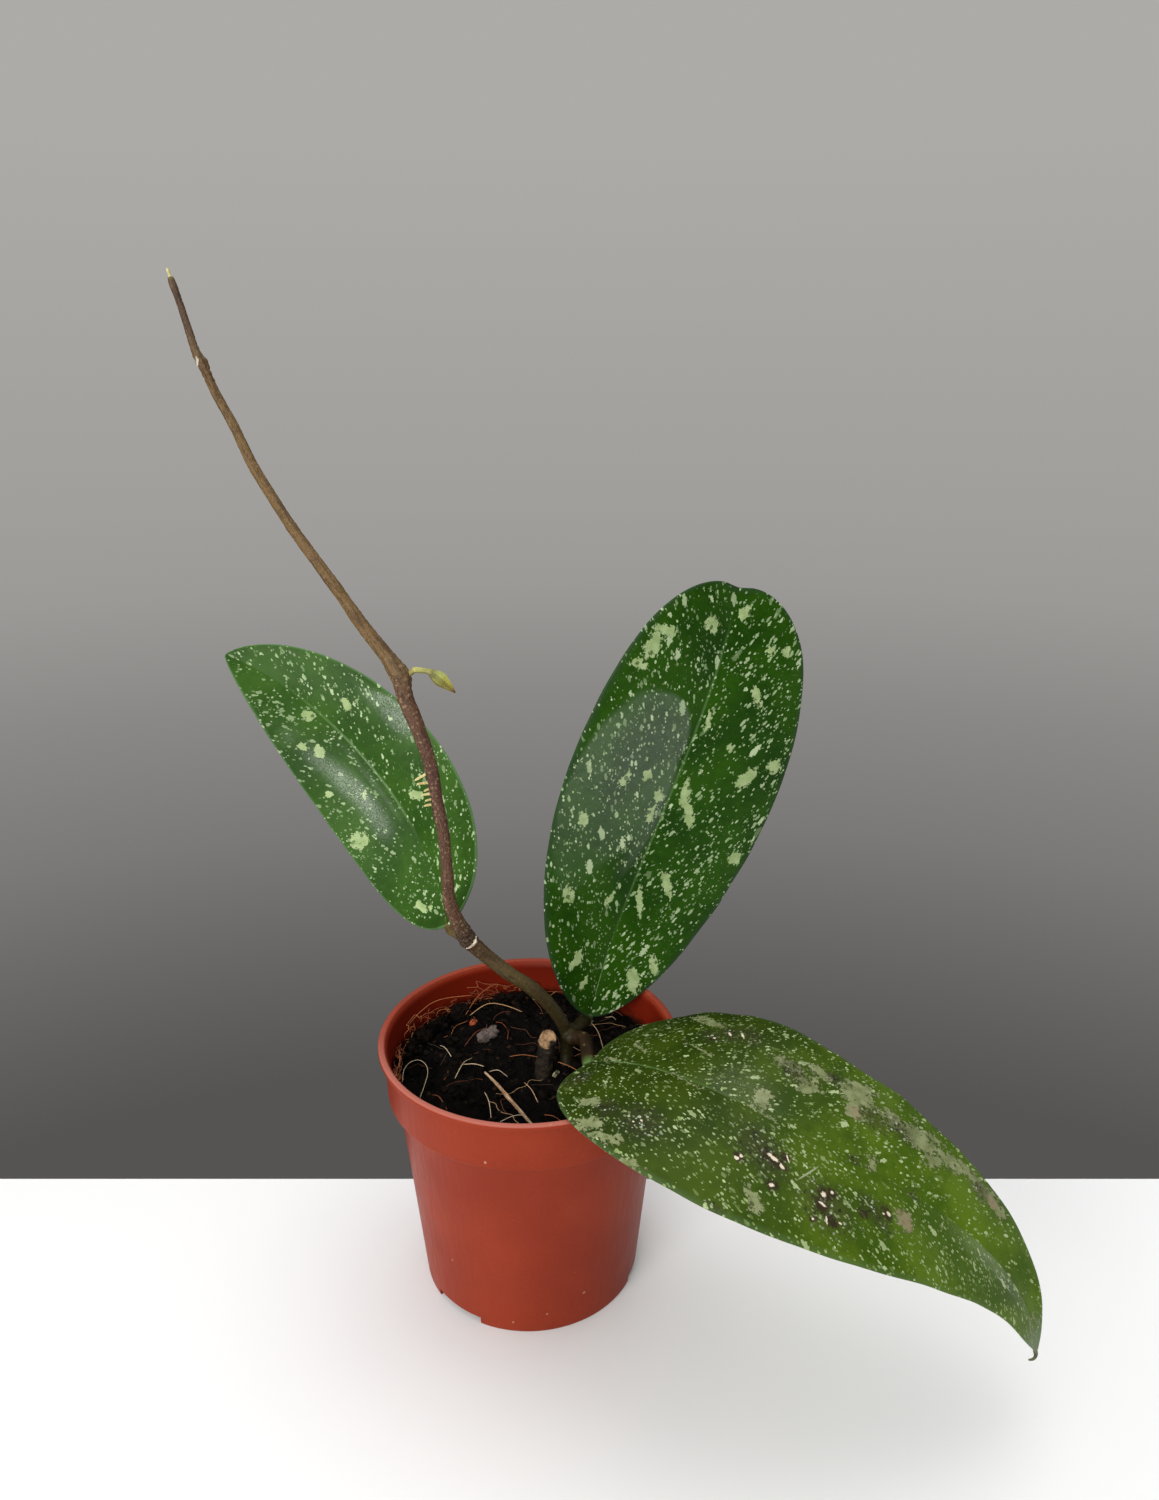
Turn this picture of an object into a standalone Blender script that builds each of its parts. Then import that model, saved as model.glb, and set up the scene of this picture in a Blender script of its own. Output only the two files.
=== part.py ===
"""Potted hoya: three broad leaves and a leafless runner, rooted in a round nursery pot of peat.

The origin is the middle of the pot's foot, +Z is up and -Y is the front. The named sizes are
in millimetres, and every point is scaled to metres as its mesh is made.
"""

import math

import bmesh
import bpy
from mathutils import Matrix, Vector, noise

MM = 0.001
GAP = 0.3
SHARP_ANGLE = 35.0

# Pot
POT_HEIGHT = 82.0
RIM_RADIUS = 45.0
LIP_HEIGHT = 1.6
COLLAR_HEIGHT = 16.0
COLLAR_TOP_RADIUS = 43.1
COLLAR_FOOT_RADIUS = 42.8
BODY_TOP_RADIUS = 39.8
FOOT_RADIUS = 33.6
WALL = 1.0
FLOOR_LIFT = 3.2
FLOOR_TOP = 4.2
PAD_RADIUS = 9.0
POT_STEPS = 72
NOTCH_AZIMUTHS = (230.0, 350.0, 110.0)
NOTCH_SIZE = (7.0, 17.4, 5.2)
DRAIN_RADIUS = 3.6
DRAIN_CENTRE = 26.5

# Peat
SOIL_TOP = 70.2
SOIL_RELIEF = 1.5
SOIL_WRINKLE = 9.0
SOIL_RINGS = 11
HOLE_SPARE = 2.0

# Leaves: a midrib curve, the way the face looks at base and tip (turn from the front, lift),
# the half widths, the outline's two powers, and the cross-section's fold and cup.
BLADE_THICK = 1.3
BLADE_ROWS = 34
BLADE_COLUMNS = 8
CUP_SCALE = 40.0
EDGE_SAMPLES = 600
DENT_START = 0.85
DENT_WIDTH = 4.5
PETIOLE_LEAD = 0.33
RIB_TIP_RADIUS = 0.55
RIB_END = 0.82
RIB_POINTS = 14
LEFT_LEAF = {
    "midrib": (
        (-24.1, 4.8, 115.5),
        (-32.2, 41.9, 138.4),
        (-67.9, 44.6, 178.5),
        (-95.5, 49.1, 186.7),
    ),
    "base_face": (-30.7, 24.7),
    "tip_face": (-9.4, 33.2),
    "half_widths": (22.1, 22.3),
    "powers": (0.473, 0.799),
    "fold": 0.195,
    "cup": -0.16,
    "dent": 0.0,
    "petiole": (1.7, 1.6),
    "ends": (0.004, 0.995),
}
UPRIGHT_LEAF = {
    "midrib": (
        (18.7, 14.1, 78.4),
        (28.6, 30.8, 118.2),
        (53.2, 24.8, 163.7),
        (62.6, 36.2, 211.7),
    ),
    "base_face": (21.2, 7.6),
    "tip_face": (27.4, 15.4),
    "half_widths": (36.0, 35.7),
    "powers": (0.581, 0.396),
    "fold": 0.16,
    "cup": -0.136,
    "dent": 1.0,
    "petiole": (2.1, 1.8),
    "ends": (0.003, 0.9985),
}
DROOPING_LEAF = {
    "midrib": (
        (18.1, -11.2, 79.3),
        (52.6, -43.2, 104.5),
        (65.2, -55.4, 79.2),
        (133.3, -50.7, 68.2),
        (139.0, -61.3, 21.8),
    ),
    "base_face": (14.5, 82.7),
    "tip_face": (39.8, 48.1),
    "half_widths": (36.1, 33.9),
    "powers": (0.357, 0.858),
    "fold": 0.144,
    "cup": -0.233,
    "dent": 0.0,
    "petiole": (2.2, 1.9),
    "ends": (0.0009, 0.996),
}
# The drooping leaf's point curls on past its blade: steps of x, y, z from the apex, and a radius
HOOK_START = 0.95
HOOK_SINK = 0.65
HOOK_RADIUS = 0.62
HOOK = (
    (0.1, -0.3, -0.8, 0.62),
    (-0.1, -0.5, -1.7, 0.55),
    (-0.8, -0.5, -2.4, 0.5),
    (-1.8, -0.4, -2.6, 0.45),
)

# Runner: its middle line, each point with its radius, from the peat to the bare tip
RUNNER = (
    (11.1, 1.7, 44.0, 1.75),
    (11.1, 1.7, 66.0, 1.8),
    (11.2, 2.2, 70.0, 1.85),
    (11.4, 3.3, 73.6, 1.88),
    (11.1, 3.0, 80.5, 2.0),
    (8.7, 2.0, 86.7, 2.05),
    (4.7, 1.0, 92.9, 2.08),
    (-0.1, 0.5, 98.0, 2.12),
    (-5.5, 0.0, 102.2, 2.15),
    (-11.4, 0.0, 107.5, 2.15),
    (-15.4, -0.5, 111.8, 2.38),
    (-17.3, -1.0, 114.2, 2.7),
    (-18.4, -1.8, 117.2, 2.4),
    (-19.8, -3.0, 120.9, 2.17),
    (-21.7, -5.0, 128.4, 1.85),
    (-21.7, -7.0, 139.5, 1.68),
    (-22.1, -8.0, 149.9, 1.7),
    (-23.5, -8.0, 159.6, 1.75),
    (-24.6, -8.0, 169.1, 1.79),
    (-26.7, -7.0, 177.4, 1.89),
    (-29.1, -6.0, 183.9, 2.15),
    (-31.3, -5.0, 189.6, 2.27),
    (-32.1, -4.0, 194.1, 2.67),
    (-33.9, -3.5, 197.2, 2.45),
    (-35.8, -3.0, 200.0, 2.0),
    (-42.1, -1.0, 207.8, 1.73),
    (-47.7, 1.0, 215.6, 1.59),
    (-54.0, 3.0, 224.2, 1.53),
    (-60.2, 5.0, 232.7, 1.47),
    (-65.6, 7.0, 241.2, 1.44),
    (-70.0, 8.0, 248.9, 1.37),
    (-74.1, 9.0, 258.2, 1.3),
    (-78.3, 10.0, 266.4, 1.26),
    (-80.3, 10.0, 271.9, 1.3),
    (-81.0, 10.0, 273.9, 1.5),
    (-82.3, 10.0, 276.5, 1.15),
    (-83.9, 11.0, 282.0, 1.02),
    (-85.8, 12.0, 288.6, 0.88),
    (-87.2, 12.0, 293.9, 0.92),
    (-87.9, 12.0, 296.4, 0.5),
)
LOWER_NODE = Vector((-17.3, -1.0, 114.2))
UPPER_NODE = Vector((-32.1, -4.0, 194.1))
BASE_NODE = Vector((11.2, 3.0, 79.2))
# Each leaf leaves its node in this direction, on a cushion of the petiole's own thickness
LEFT_WAY = Vector((-0.755, 0.64, 0.14)).normalized()
UPRIGHT_WAY = Vector((0.62, 0.78, -0.02)).normalized()
DROOPING_WAY = Vector((0.8, -0.6, 0.08)).normalized()
CUSHION_REACH = 3.9

# Old cutting, young shoot and the litter on the peat
STUB = (
    (4.0, -4.6, 52.0, 2.7),
    (4.4, -4.1, 70.0, 2.75),
    (5.2, -3.1, 76.5, 2.75),
    (6.2, -1.8, 84.0, 2.75),
)
STUB_CUT = (5.9, -2.1, 82.0)
STUB_CUT_NORMAL = (-0.2, -0.6, 0.77)
KNIFE_SIZE = 20.0
SHOOT_REACH = 3.6
SHOOT = (
    (-28.5, -4.0, 196.5, 0.9),
    (-26.6, -4.0, 196.3, 0.85),
    (-24.4, -4.0, 195.6, 0.95),
    (-22.8, -4.0, 194.6, 1.6),
    (-20.9, -4.0, 193.1, 1.95),
    (-19.2, -4.0, 191.6, 1.35),
    (-17.8, -4.0, 190.2, 0.5),
)
# Litter lies half sunk: x, y and radius of the twig, then x, y of each scrap, its size and turn
TWIG = ((-13.5, -3.3, 0.75), (-9.8, -9.4, 0.72), (-6.0, -15.6, 0.7), (1.9, -28.2, 0.65))
FLAKE = (-13.9, 14.5)
FLAKE_SIZE = (8.4, 6.0, 1.0)
FLAKE_TURN = (0.12, -0.1, 0.5)
CHIP = (-19.0, 23.2)
CHIP_SIZE = (3.2, 2.6, 1.6)
CHIP_TURN = (0.2, 0.15, 0.9)
SHARD_SIDES = 6
SHARD_JAG = 0.09
SHARD_TAPER = 0.86


def clear_scene():
    """Removes the start-up objects, so that the scene holds only this object."""
    for obj in list(bpy.data.objects):
        bpy.data.objects.remove(obj)


def new_collection(name, hidden=False):
    made = bpy.data.collections.new(name)
    made.hide_render = hidden
    bpy.context.scene.collection.children.link(made)
    return made


def new_material(name, colour, roughness):
    """A plain Principled finish; colour is linear red, green, blue."""
    made = bpy.data.materials.new(name)
    made.use_nodes = True
    shader = made.node_tree.nodes["Principled BSDF"]
    shader.inputs["Base Color"].default_value = (*colour, 1.0)
    shader.inputs["Roughness"].default_value = roughness
    return made


def add_object(name, data, collection, material=None):
    obj = bpy.data.objects.new(name, data)
    collection.objects.link(obj)
    if material:
        data.materials.append(material)
    return obj


def settled(obj):
    """The object's shape with all its modifiers, as one plain mesh in world space."""
    bpy.context.view_layer.update()
    shape = obj.evaluated_get(bpy.context.evaluated_depsgraph_get())
    mesh = bpy.data.meshes.new_from_object(shape)
    mesh.transform(obj.matrix_world)
    mesh.materials.clear()
    bm = bmesh.new()
    bm.from_mesh(mesh)
    bmesh.ops.remove_doubles(bm, verts=bm.verts, dist=0.002 * MM)
    bmesh.ops.recalc_face_normals(bm, faces=bm.faces)
    bm.to_mesh(mesh)
    bm.free()
    mesh.shade_smooth()
    mesh.set_sharp_from_angle(angle=math.radians(SHARP_ANGLE))
    return mesh


def block(name, size, collection):
    """A box with its middle at the origin, to cut with."""
    bm = bmesh.new()
    bmesh.ops.create_cube(bm, size=MM, matrix=Matrix.Diagonal((*size, 1.0)))
    mesh = bpy.data.meshes.new(name)
    bm.to_mesh(mesh)
    bm.free()
    return add_object(name, mesh, collection)


def turned(name, profile, steps, collection):
    """A body of revolution about Z. The profile runs from the axis over the top and down outside."""
    mesh = bpy.data.meshes.new(name)
    points = [(r * MM, 0.0, z * MM) for r, z in profile]
    mesh.from_pydata(points, [(i, i + 1) for i in range(len(points) - 1)], [])
    obj = add_object(name, mesh, collection)
    screw = obj.modifiers.new("turn", "SCREW")
    screw.steps = steps
    screw.render_steps = steps
    screw.use_merge_vertices = True
    screw.merge_threshold = 0.00001
    return obj


def tube(name, path, collection, extra=0.0):
    """A round tube along points of x, y, z and radius, closed at both ends."""
    curve = bpy.data.curves.new(name, "CURVE")
    curve.dimensions = "3D"
    curve.bevel_depth = MM
    curve.bevel_resolution = 3
    curve.use_fill_caps = True
    spline = curve.splines.new("POLY")
    spline.points.add(len(path) - 1)
    for point, (x, y, z, radius) in zip(spline.points, path):
        point.co = (x * MM, y * MM, z * MM, 1.0)
        point.radius = radius + extra
    return add_object(name, curve, collection)


def solid_tube(name, path, collection, extra=0.0):
    """The same tube as a plain closed mesh, ready for a Boolean."""
    guide = tube(name + "_line", path, collection, extra)
    made = add_object(name, settled(guide), collection)
    bpy.data.objects.remove(guide)
    return made


def boolean(obj, tool, operation):
    step = obj.modifiers.new(tool.name, "BOOLEAN")
    step.operation = operation
    step.solver = "EXACT"
    step.object = tool
    tool.display_type = "WIRE"
    tool.hide_render = True


def smooth_path(path, cuts):
    """Rounds a path of x, y, z and radius by Catmull-Rom steps between its points."""
    rows = [Vector(p) for p in path]
    rows = [rows[0]] + rows + [rows[-1]]
    made = []
    for a, b, c, d in zip(rows, rows[1:], rows[2:], rows[3:]):
        for k in range(cuts):
            t = k / cuts
            near = b * 2.0 + (c - a) * t
            far = (a * 2.0 - b * 5.0 + c * 4.0 - d) * t**2 + (b * 3.0 - a - c * 3.0 + d) * t**3
            made.append((near + far) * 0.5)
    made.append(rows[-1])
    return [tuple(p) for p in made]


def pot_profile():
    """Inside floor, inner wall, rim, lip, collar, tapering body, foot ring and the underside."""
    collar_foot = POT_HEIGHT - COLLAR_HEIGHT
    lip_foot = POT_HEIGHT - LIP_HEIGHT
    return (
        (0.0, FLOOR_TOP),
        (FOOT_RADIUS - 0.6, FLOOR_TOP),
        (BODY_TOP_RADIUS - WALL, collar_foot - 1.2),
        (COLLAR_FOOT_RADIUS - WALL, collar_foot + 0.4),
        (COLLAR_TOP_RADIUS - WALL, lip_foot - 0.4),
        (COLLAR_TOP_RADIUS - 0.2, POT_HEIGHT - 0.5),
        (COLLAR_TOP_RADIUS + 0.2, POT_HEIGHT),
        (RIM_RADIUS - 0.5, POT_HEIGHT),
        (RIM_RADIUS, POT_HEIGHT - 0.4),
        (RIM_RADIUS, lip_foot + 0.2),
        (RIM_RADIUS - 0.3, lip_foot),
        (COLLAR_TOP_RADIUS + 0.3, lip_foot - 0.2),
        (COLLAR_TOP_RADIUS, lip_foot - 0.5),
        (COLLAR_FOOT_RADIUS, collar_foot),
        (COLLAR_FOOT_RADIUS - 0.5, collar_foot - 0.6),
        (BODY_TOP_RADIUS, collar_foot - 1.0),
        (FOOT_RADIUS, 0.3),
        (FOOT_RADIUS - 0.3, 0.0),
        (FOOT_RADIUS - 1.2, 0.0),
        (FOOT_RADIUS - 1.1, FLOOR_LIFT),
        (PAD_RADIUS + 0.6, FLOOR_LIFT),
        (PAD_RADIUS, 0.0),
        (0.0, 0.0),
    )


def notch_cutter(name, azimuth, collection):
    """A box across the foot ring, open below, that lets water out from under the pot."""
    turn = math.radians(azimuth)
    cutter = block(name, NOTCH_SIZE, collection)
    cutter.rotation_euler.z = turn
    cutter.location = Vector((math.cos(turn), math.sin(turn), 0.0)) * FOOT_RADIUS * MM
    return cutter


def drain_cutter(name, azimuth, collection):
    turn = math.radians(azimuth)
    x = DRAIN_CENTRE * math.cos(turn)
    y = DRAIN_CENTRE * math.sin(turn)
    path = ((x, y, -1.0, DRAIN_RADIUS), (x, y, FLOOR_TOP + 2.0, DRAIN_RADIUS))
    return solid_tube(name, path, collection)


def make_pot(parts, cutters, material):
    """The thin moulded pot, with three notches in its foot and a drain hole behind each."""
    blank = turned("pot_blank", pot_profile(), POT_STEPS, cutters)
    pot = add_object("pot", settled(blank), parts, material)
    bpy.data.objects.remove(blank)
    for index, azimuth in enumerate(NOTCH_AZIMUTHS):
        boolean(pot, notch_cutter(f"notch_{index}", azimuth, cutters), "DIFFERENCE")
        boolean(pot, drain_cutter(f"drain_{index}", azimuth, cutters), "DIFFERENCE")
    return pot


def soil_profile():
    """The fill: a level top in rings, then down the pot's inner wall at a small gap."""
    shoulder = POT_HEIGHT - COLLAR_HEIGHT
    edge = COLLAR_FOOT_RADIUS - WALL - GAP
    rings = [(edge * k / SOIL_RINGS, SOIL_TOP) for k in range(SOIL_RINGS + 1)]
    return (
        *rings,
        (edge, shoulder + 0.9),
        (BODY_TOP_RADIUS - WALL - GAP, shoulder - 0.9),
        (FOOT_RADIUS - 0.6 - GAP, FLOOR_TOP + GAP),
        (0.0, FLOOR_TOP + GAP),
    )


def soil_level(x, y):
    """The height of the peat's lumpy surface, from two sizes of smooth noise."""
    broad = noise.noise(Vector((x, y, 3.7)) / (SOIL_WRINKLE * 1.7))
    fine = noise.noise(Vector((x, y, 9.1)) / (SOIL_WRINKLE * 0.6))
    return SOIL_TOP + SOIL_RELIEF * (broad * 1.2 + fine * 0.7)


def hole_for(name, path, cutters):
    """A plain hole for a stem: the stem's own line, a gap wider and a little deeper."""
    x, y, z, radius = path[0]
    return solid_tube(name, ((x, y, z - HOLE_SPARE, radius), *path), cutters, GAP)


def make_soil(parts, cutters, beds, material):
    """The peat, its top pushed into lumps, with a plain hole or bed for each thing set in it."""
    blank = turned("soil_blank", soil_profile(), POT_STEPS, cutters)
    mesh = settled(blank)
    bpy.data.objects.remove(blank)
    for vertex in mesh.vertices:
        if vertex.co.z > (SOIL_TOP - 0.1) * MM:
            vertex.co.z = soil_level(vertex.co.x / MM, vertex.co.y / MM) * MM
    soil = add_object("soil", mesh, parts, material)
    for bed in beds:
        boolean(soil, bed, "DIFFERENCE")
    return soil


def bezier(points, t):
    """A place on the curve of these points, by cutting every line at t until one point is left."""
    row = [Vector(p) for p in points]
    while len(row) > 1:
        row = [a.lerp(b, t) for a, b in zip(row, row[1:])]
    return row[0]


def facing(turn, lift):
    """The direction that is turned from the front and lifted from level, in degrees."""
    turn, lift = math.radians(turn), math.radians(lift)
    return Vector((math.sin(turn) * math.cos(lift), -math.cos(turn) * math.cos(lift), math.sin(lift)))


def half_width(s, powers):
    """The outline: 0 at both ends and 1 where the leaf is broadest."""
    a, b = powers
    peak = (a + b) ** (a + b) / (a**a * b**b)
    return peak * s**a * (1.0 - s) ** b


def blade_frame(leaf, s):
    """The midrib's place at s, with the directions across the blade and out of its upper face."""
    midrib = leaf["midrib"]
    along = bezier([Vector(b) - Vector(a) for a, b in zip(midrib, midrib[1:])], s).normalized()
    look = facing(*leaf["base_face"]).lerp(facing(*leaf["tip_face"]), s)
    across = along.cross(look).normalized()
    return bezier(midrib, s), across, across.cross(along)


def blade_point(leaf, s, u):
    """A point of the upper face, u from -1 at one edge over 0 at the midrib to 1 at the other."""
    place, across, out = blade_frame(leaf, s)
    x = leaf["half_widths"][1 if u > 0.0 else 0] * half_width(s, leaf["powers"]) * u
    rise = leaf["fold"] * abs(x) + leaf["cup"] * x * x / CUP_SCALE
    near_tip = max(0.0, (s - DENT_START) / (1.0 - DENT_START))
    dent = leaf["dent"] * near_tip * math.exp(-((x / DENT_WIDTH) ** 2))
    return place - out.cross(across) * dent + across * x + out * rise


def row_places(leaf, rows):
    """The s of each row, so that the rows are evenly spaced around the outline."""
    start, stop = leaf["ends"]
    turns = [math.pi * k / EDGE_SAMPLES for k in range(EDGE_SAMPLES + 1)]
    samples = [start + (stop - start) * 0.5 * (1.0 - math.cos(turn)) for turn in turns]
    edge = [blade_point(leaf, s, 1.0) for s in samples]
    lengths = [0.0]
    for one, two in zip(edge, edge[1:]):
        lengths.append(lengths[-1] + (two - one).length)
    places = []
    for row in range(rows + 1):
        goal = lengths[-1] * row / rows
        index = next(i for i, length in enumerate(lengths) if length >= goal - 1e-9)
        places.append(samples[index])
    return places


def blade_mesh(name, leaf, collection):
    """A grid laid over the upper face, split into triangles and thickened downward."""
    places = row_places(leaf, BLADE_ROWS)
    bm = bmesh.new()
    bmesh.ops.create_grid(bm, x_segments=BLADE_COLUMNS, y_segments=BLADE_ROWS, size=1.0)
    for vertex in bm.verts:
        row = round((vertex.co.y + 1.0) * 0.5 * BLADE_ROWS)
        vertex.co = blade_point(leaf, places[row], vertex.co.x) * MM
    bmesh.ops.triangulate(bm, faces=bm.faces)
    mesh = bpy.data.meshes.new(name)
    bm.to_mesh(mesh)
    bm.free()
    obj = add_object(name, mesh, collection)
    thick = obj.modifiers.new("thickness", "SOLIDIFY")
    thick.thickness = BLADE_THICK * MM
    thick.offset = -1.0
    return obj


def rib_path(leaf, start, way):
    """Petiole and midrib as one line: out of the cushion, under the blade and thinning to its tip."""
    thick, thin = leaf["petiole"]
    base = Vector(leaf["midrib"][0])
    path = [(*(start + way * (base - start).length * PETIOLE_LEAD), thick)]
    for k in range(RIB_POINTS):
        s = RIB_END * k / (RIB_POINTS - 1)
        place, _, out = blade_frame(leaf, s)
        radius = thin + (RIB_TIP_RADIUS - thin) * (s / RIB_END) ** 0.7
        path.append((*(place - out * (BLADE_THICK * 0.5 + radius * 0.65)), radius))
    return [(*start, thick)] + smooth_path(path, 2)


def make_leaf(name, leaf, start, way, parts, cutters, material, extra=()):
    """One leaf: the blade with its petiole and midrib fused on."""
    blade = blade_mesh(name + "_blade", leaf, cutters)
    made = add_object(name, settled(blade), parts, material)
    bpy.data.objects.remove(blade)
    rib = solid_tube(name + "_rib", rib_path(leaf, start, way), cutters)
    for piece in (rib, *extra):
        boolean(made, piece, "UNION")
    return made


def cushion(name, middle, way, radius, collection):
    """A short stub on a node, ending in a flat face that the petiole looks onto."""
    near = (*(middle + way * 0.4), radius * 0.8)
    far = (*(middle + way * CUSHION_REACH), radius)
    return solid_tube(name, (near, far), collection)


def make_vine(parts, cutters, seats, material):
    """The runner with its nodes, and on them the cushions that carry the leaves."""
    line = tube("vine_line", smooth_path(RUNNER, 2), cutters)
    vine = add_object("vine", settled(line), parts, material)
    bpy.data.objects.remove(line)
    for name, (leaf, middle, way) in seats.items():
        boolean(vine, cushion("cushion_" + name, middle, way, leaf["petiole"][0], cutters), "UNION")
    return vine


def make_stub(parts, cutters, material):
    """The cutting that the plant grew from, with its slanting cut face."""
    line = tube("stub_line", STUB, cutters)
    stub = add_object("cutting_stub", settled(line), parts, material)
    bpy.data.objects.remove(line)
    knife = block("stub_knife", (KNIFE_SIZE,) * 3, cutters)
    normal = Vector(STUB_CUT_NORMAL).normalized()
    knife.rotation_euler = normal.to_track_quat("Z", "Y").to_euler()
    knife.location = (Vector(STUB_CUT) + normal * KNIFE_SIZE * 0.5) * MM
    boolean(stub, knife, "DIFFERENCE")
    return stub


def lying(path):
    """Lays a path of x, y and radius on the peat, sunk to its middle."""
    return [(x, y, soil_level(x, y) + 0.3 * radius, radius) for x, y, radius in path]


def longer(path, reach):
    """The same path, its two ends moved outward by the reach."""
    rows = [Vector(p) for p in path]
    first = rows[0] + (rows[0] - rows[1]).normalized() * reach
    last = rows[-1] + (rows[-1] - rows[-2]).normalized() * reach
    return [tuple(p) for p in (first, *rows[1:-1], last)]


def shard(name, spot, size, turn, collection, grow=0.0):
    """A flat broken scrap on the peat: a six-sided plate whose corners reach out unevenly."""
    bm = bmesh.new()
    bmesh.ops.create_cone(
        bm, cap_ends=True, segments=SHARD_SIDES, radius1=0.5, radius2=0.5 * SHARD_TAPER, depth=1.0
    )
    for vertex in bm.verts:
        angle = math.atan2(vertex.co.y, vertex.co.x)
        reach = 1.0 - SHARD_JAG * (1.0 + math.cos(3.0 * angle + 0.6) + 0.5 * math.sin(2.0 * angle))
        vertex.co.x *= reach * (size[0] + 2.0 * grow)
        vertex.co.y *= reach * (size[1] + 2.0 * grow)
        vertex.co.z *= size[2] + 2.0 * grow
    bmesh.ops.scale(bm, vec=(MM, MM, MM), verts=bm.verts)
    mesh = bpy.data.meshes.new(name)
    bm.to_mesh(mesh)
    bm.free()
    obj = add_object(name, mesh, collection)
    obj.rotation_euler = turn
    obj.location = Vector((*spot, soil_level(*spot) + 0.25 * size[2])) * MM
    return obj


def hook_path(leaf):
    """The curled point that the midrib runs out into, from inside the blade past its tip."""
    path = []
    for s in (HOOK_START, 0.5 + 0.5 * HOOK_START, 1.0):
        place, _, out = blade_frame(leaf, s)
        path.append((*(place - out * HOOK_SINK), HOOK_RADIUS))
    tip = Vector(path[-1][:3])
    return path + [(*(tip + Vector(step[:3])), step[3]) for step in HOOK]


def build():
    clear_scene()
    parts = new_collection("potted_hoya")
    cutters = new_collection("cutters", hidden=True)
    plastic = new_material("pot_plastic", (0.39, 0.113, 0.062), 0.45)
    peat = new_material("peat", (0.022, 0.017, 0.013), 0.95)
    stem = new_material("stem_bark", (0.12, 0.1, 0.045), 0.6)
    leaf = new_material("leaf_green", (0.045, 0.12, 0.02), 0.35)
    bud = new_material("bud_green", (0.22, 0.3, 0.06), 0.45)
    wood = new_material("twig_wood", (0.4, 0.27, 0.14), 0.8)
    pale = new_material("flake_pale", (0.55, 0.5, 0.4), 0.8)
    orange = new_material("chip_orange", (0.4, 0.14, 0.04), 0.8)

    seats = {
        "leaf_left": (LEFT_LEAF, LOWER_NODE, LEFT_WAY),
        "leaf_upright": (UPRIGHT_LEAF, BASE_NODE, UPRIGHT_WAY),
        "leaf_drooping": (DROOPING_LEAF, BASE_NODE, DROOPING_WAY),
    }
    make_pot(parts, cutters, plastic)
    twig_line = lying(TWIG)
    bed = GAP * 1.4
    beds = [
        hole_for("vine_hole", RUNNER[:5], cutters),
        hole_for("stub_hole", STUB, cutters),
        solid_tube("twig_bed", longer(twig_line, GAP), cutters, GAP),
        shard("flake_bed", FLAKE, FLAKE_SIZE, FLAKE_TURN, cutters, bed),
        shard("chip_bed", CHIP, CHIP_SIZE, CHIP_TURN, cutters, bed),
    ]
    make_soil(parts, cutters, beds, peat)
    make_vine(parts, cutters, seats, stem)
    make_stub(parts, cutters, stem)
    hook = solid_tube("tip_hook", smooth_path(hook_path(DROOPING_LEAF), 2), cutters)
    extras = {"leaf_drooping": (hook,)}
    for name, (shape, middle, way) in seats.items():
        start = middle + way * (CUSHION_REACH + GAP)
        make_leaf(name, shape, start, way, parts, cutters, leaf, extras.get(name, ()))
    shoot_way = (Vector(SHOOT[0][:3]) - UPPER_NODE).normalized()
    first = UPPER_NODE + shoot_way * SHOOT_REACH
    shoot = tube("young_shoot", smooth_path(((*first, 0.95), *SHOOT), 2), parts)
    shoot.data.materials.append(bud)
    twig = tube("twig", twig_line, parts)
    twig.data.materials.append(wood)
    flake = shard("pale_flake", FLAKE, FLAKE_SIZE, FLAKE_TURN, parts)
    flake.data.materials.append(pale)
    chip = shard("bark_chip", CHIP, CHIP_SIZE, CHIP_TURN, parts)
    chip.data.materials.append(orange)


build()
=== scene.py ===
# %% [markdown]
# # A potted hoya, dressed
# This lesson finishes a young hoya in its nursery pot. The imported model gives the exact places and
# sizes of every piece. Here each piece is made again with a finer surface in the same place, and
# gets a material that is worked out from the surface itself, with no picture files.

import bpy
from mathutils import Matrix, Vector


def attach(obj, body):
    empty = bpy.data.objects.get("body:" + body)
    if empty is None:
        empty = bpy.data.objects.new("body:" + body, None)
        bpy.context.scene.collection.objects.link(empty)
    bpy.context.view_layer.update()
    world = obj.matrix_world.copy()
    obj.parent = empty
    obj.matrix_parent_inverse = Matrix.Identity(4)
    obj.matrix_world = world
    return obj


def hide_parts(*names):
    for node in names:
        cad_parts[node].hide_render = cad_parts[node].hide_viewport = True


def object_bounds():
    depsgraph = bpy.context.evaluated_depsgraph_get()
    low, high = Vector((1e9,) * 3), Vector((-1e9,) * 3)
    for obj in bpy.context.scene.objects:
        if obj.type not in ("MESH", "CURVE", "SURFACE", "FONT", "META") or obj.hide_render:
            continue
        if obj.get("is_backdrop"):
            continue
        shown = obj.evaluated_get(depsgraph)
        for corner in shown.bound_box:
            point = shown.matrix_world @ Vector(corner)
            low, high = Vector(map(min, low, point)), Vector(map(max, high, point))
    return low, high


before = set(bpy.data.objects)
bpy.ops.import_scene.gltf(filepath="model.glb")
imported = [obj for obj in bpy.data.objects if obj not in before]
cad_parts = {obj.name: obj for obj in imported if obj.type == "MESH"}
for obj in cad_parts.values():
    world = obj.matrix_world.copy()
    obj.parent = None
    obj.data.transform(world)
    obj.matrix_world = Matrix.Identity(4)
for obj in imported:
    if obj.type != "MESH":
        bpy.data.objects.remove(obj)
cad_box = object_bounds()
print("nodes:", sorted(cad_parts))

# %% [markdown]
# Everything is thought out in millimetres, because a leaf is easier to imagine as 140 mm long than
# as 0.14 m. Each point is scaled to metres only when its mesh is made. Random draws come from
# seeded generators, so that the plant grows the same way every time the file runs.

# %% Units and modules
import math
import random

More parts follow.
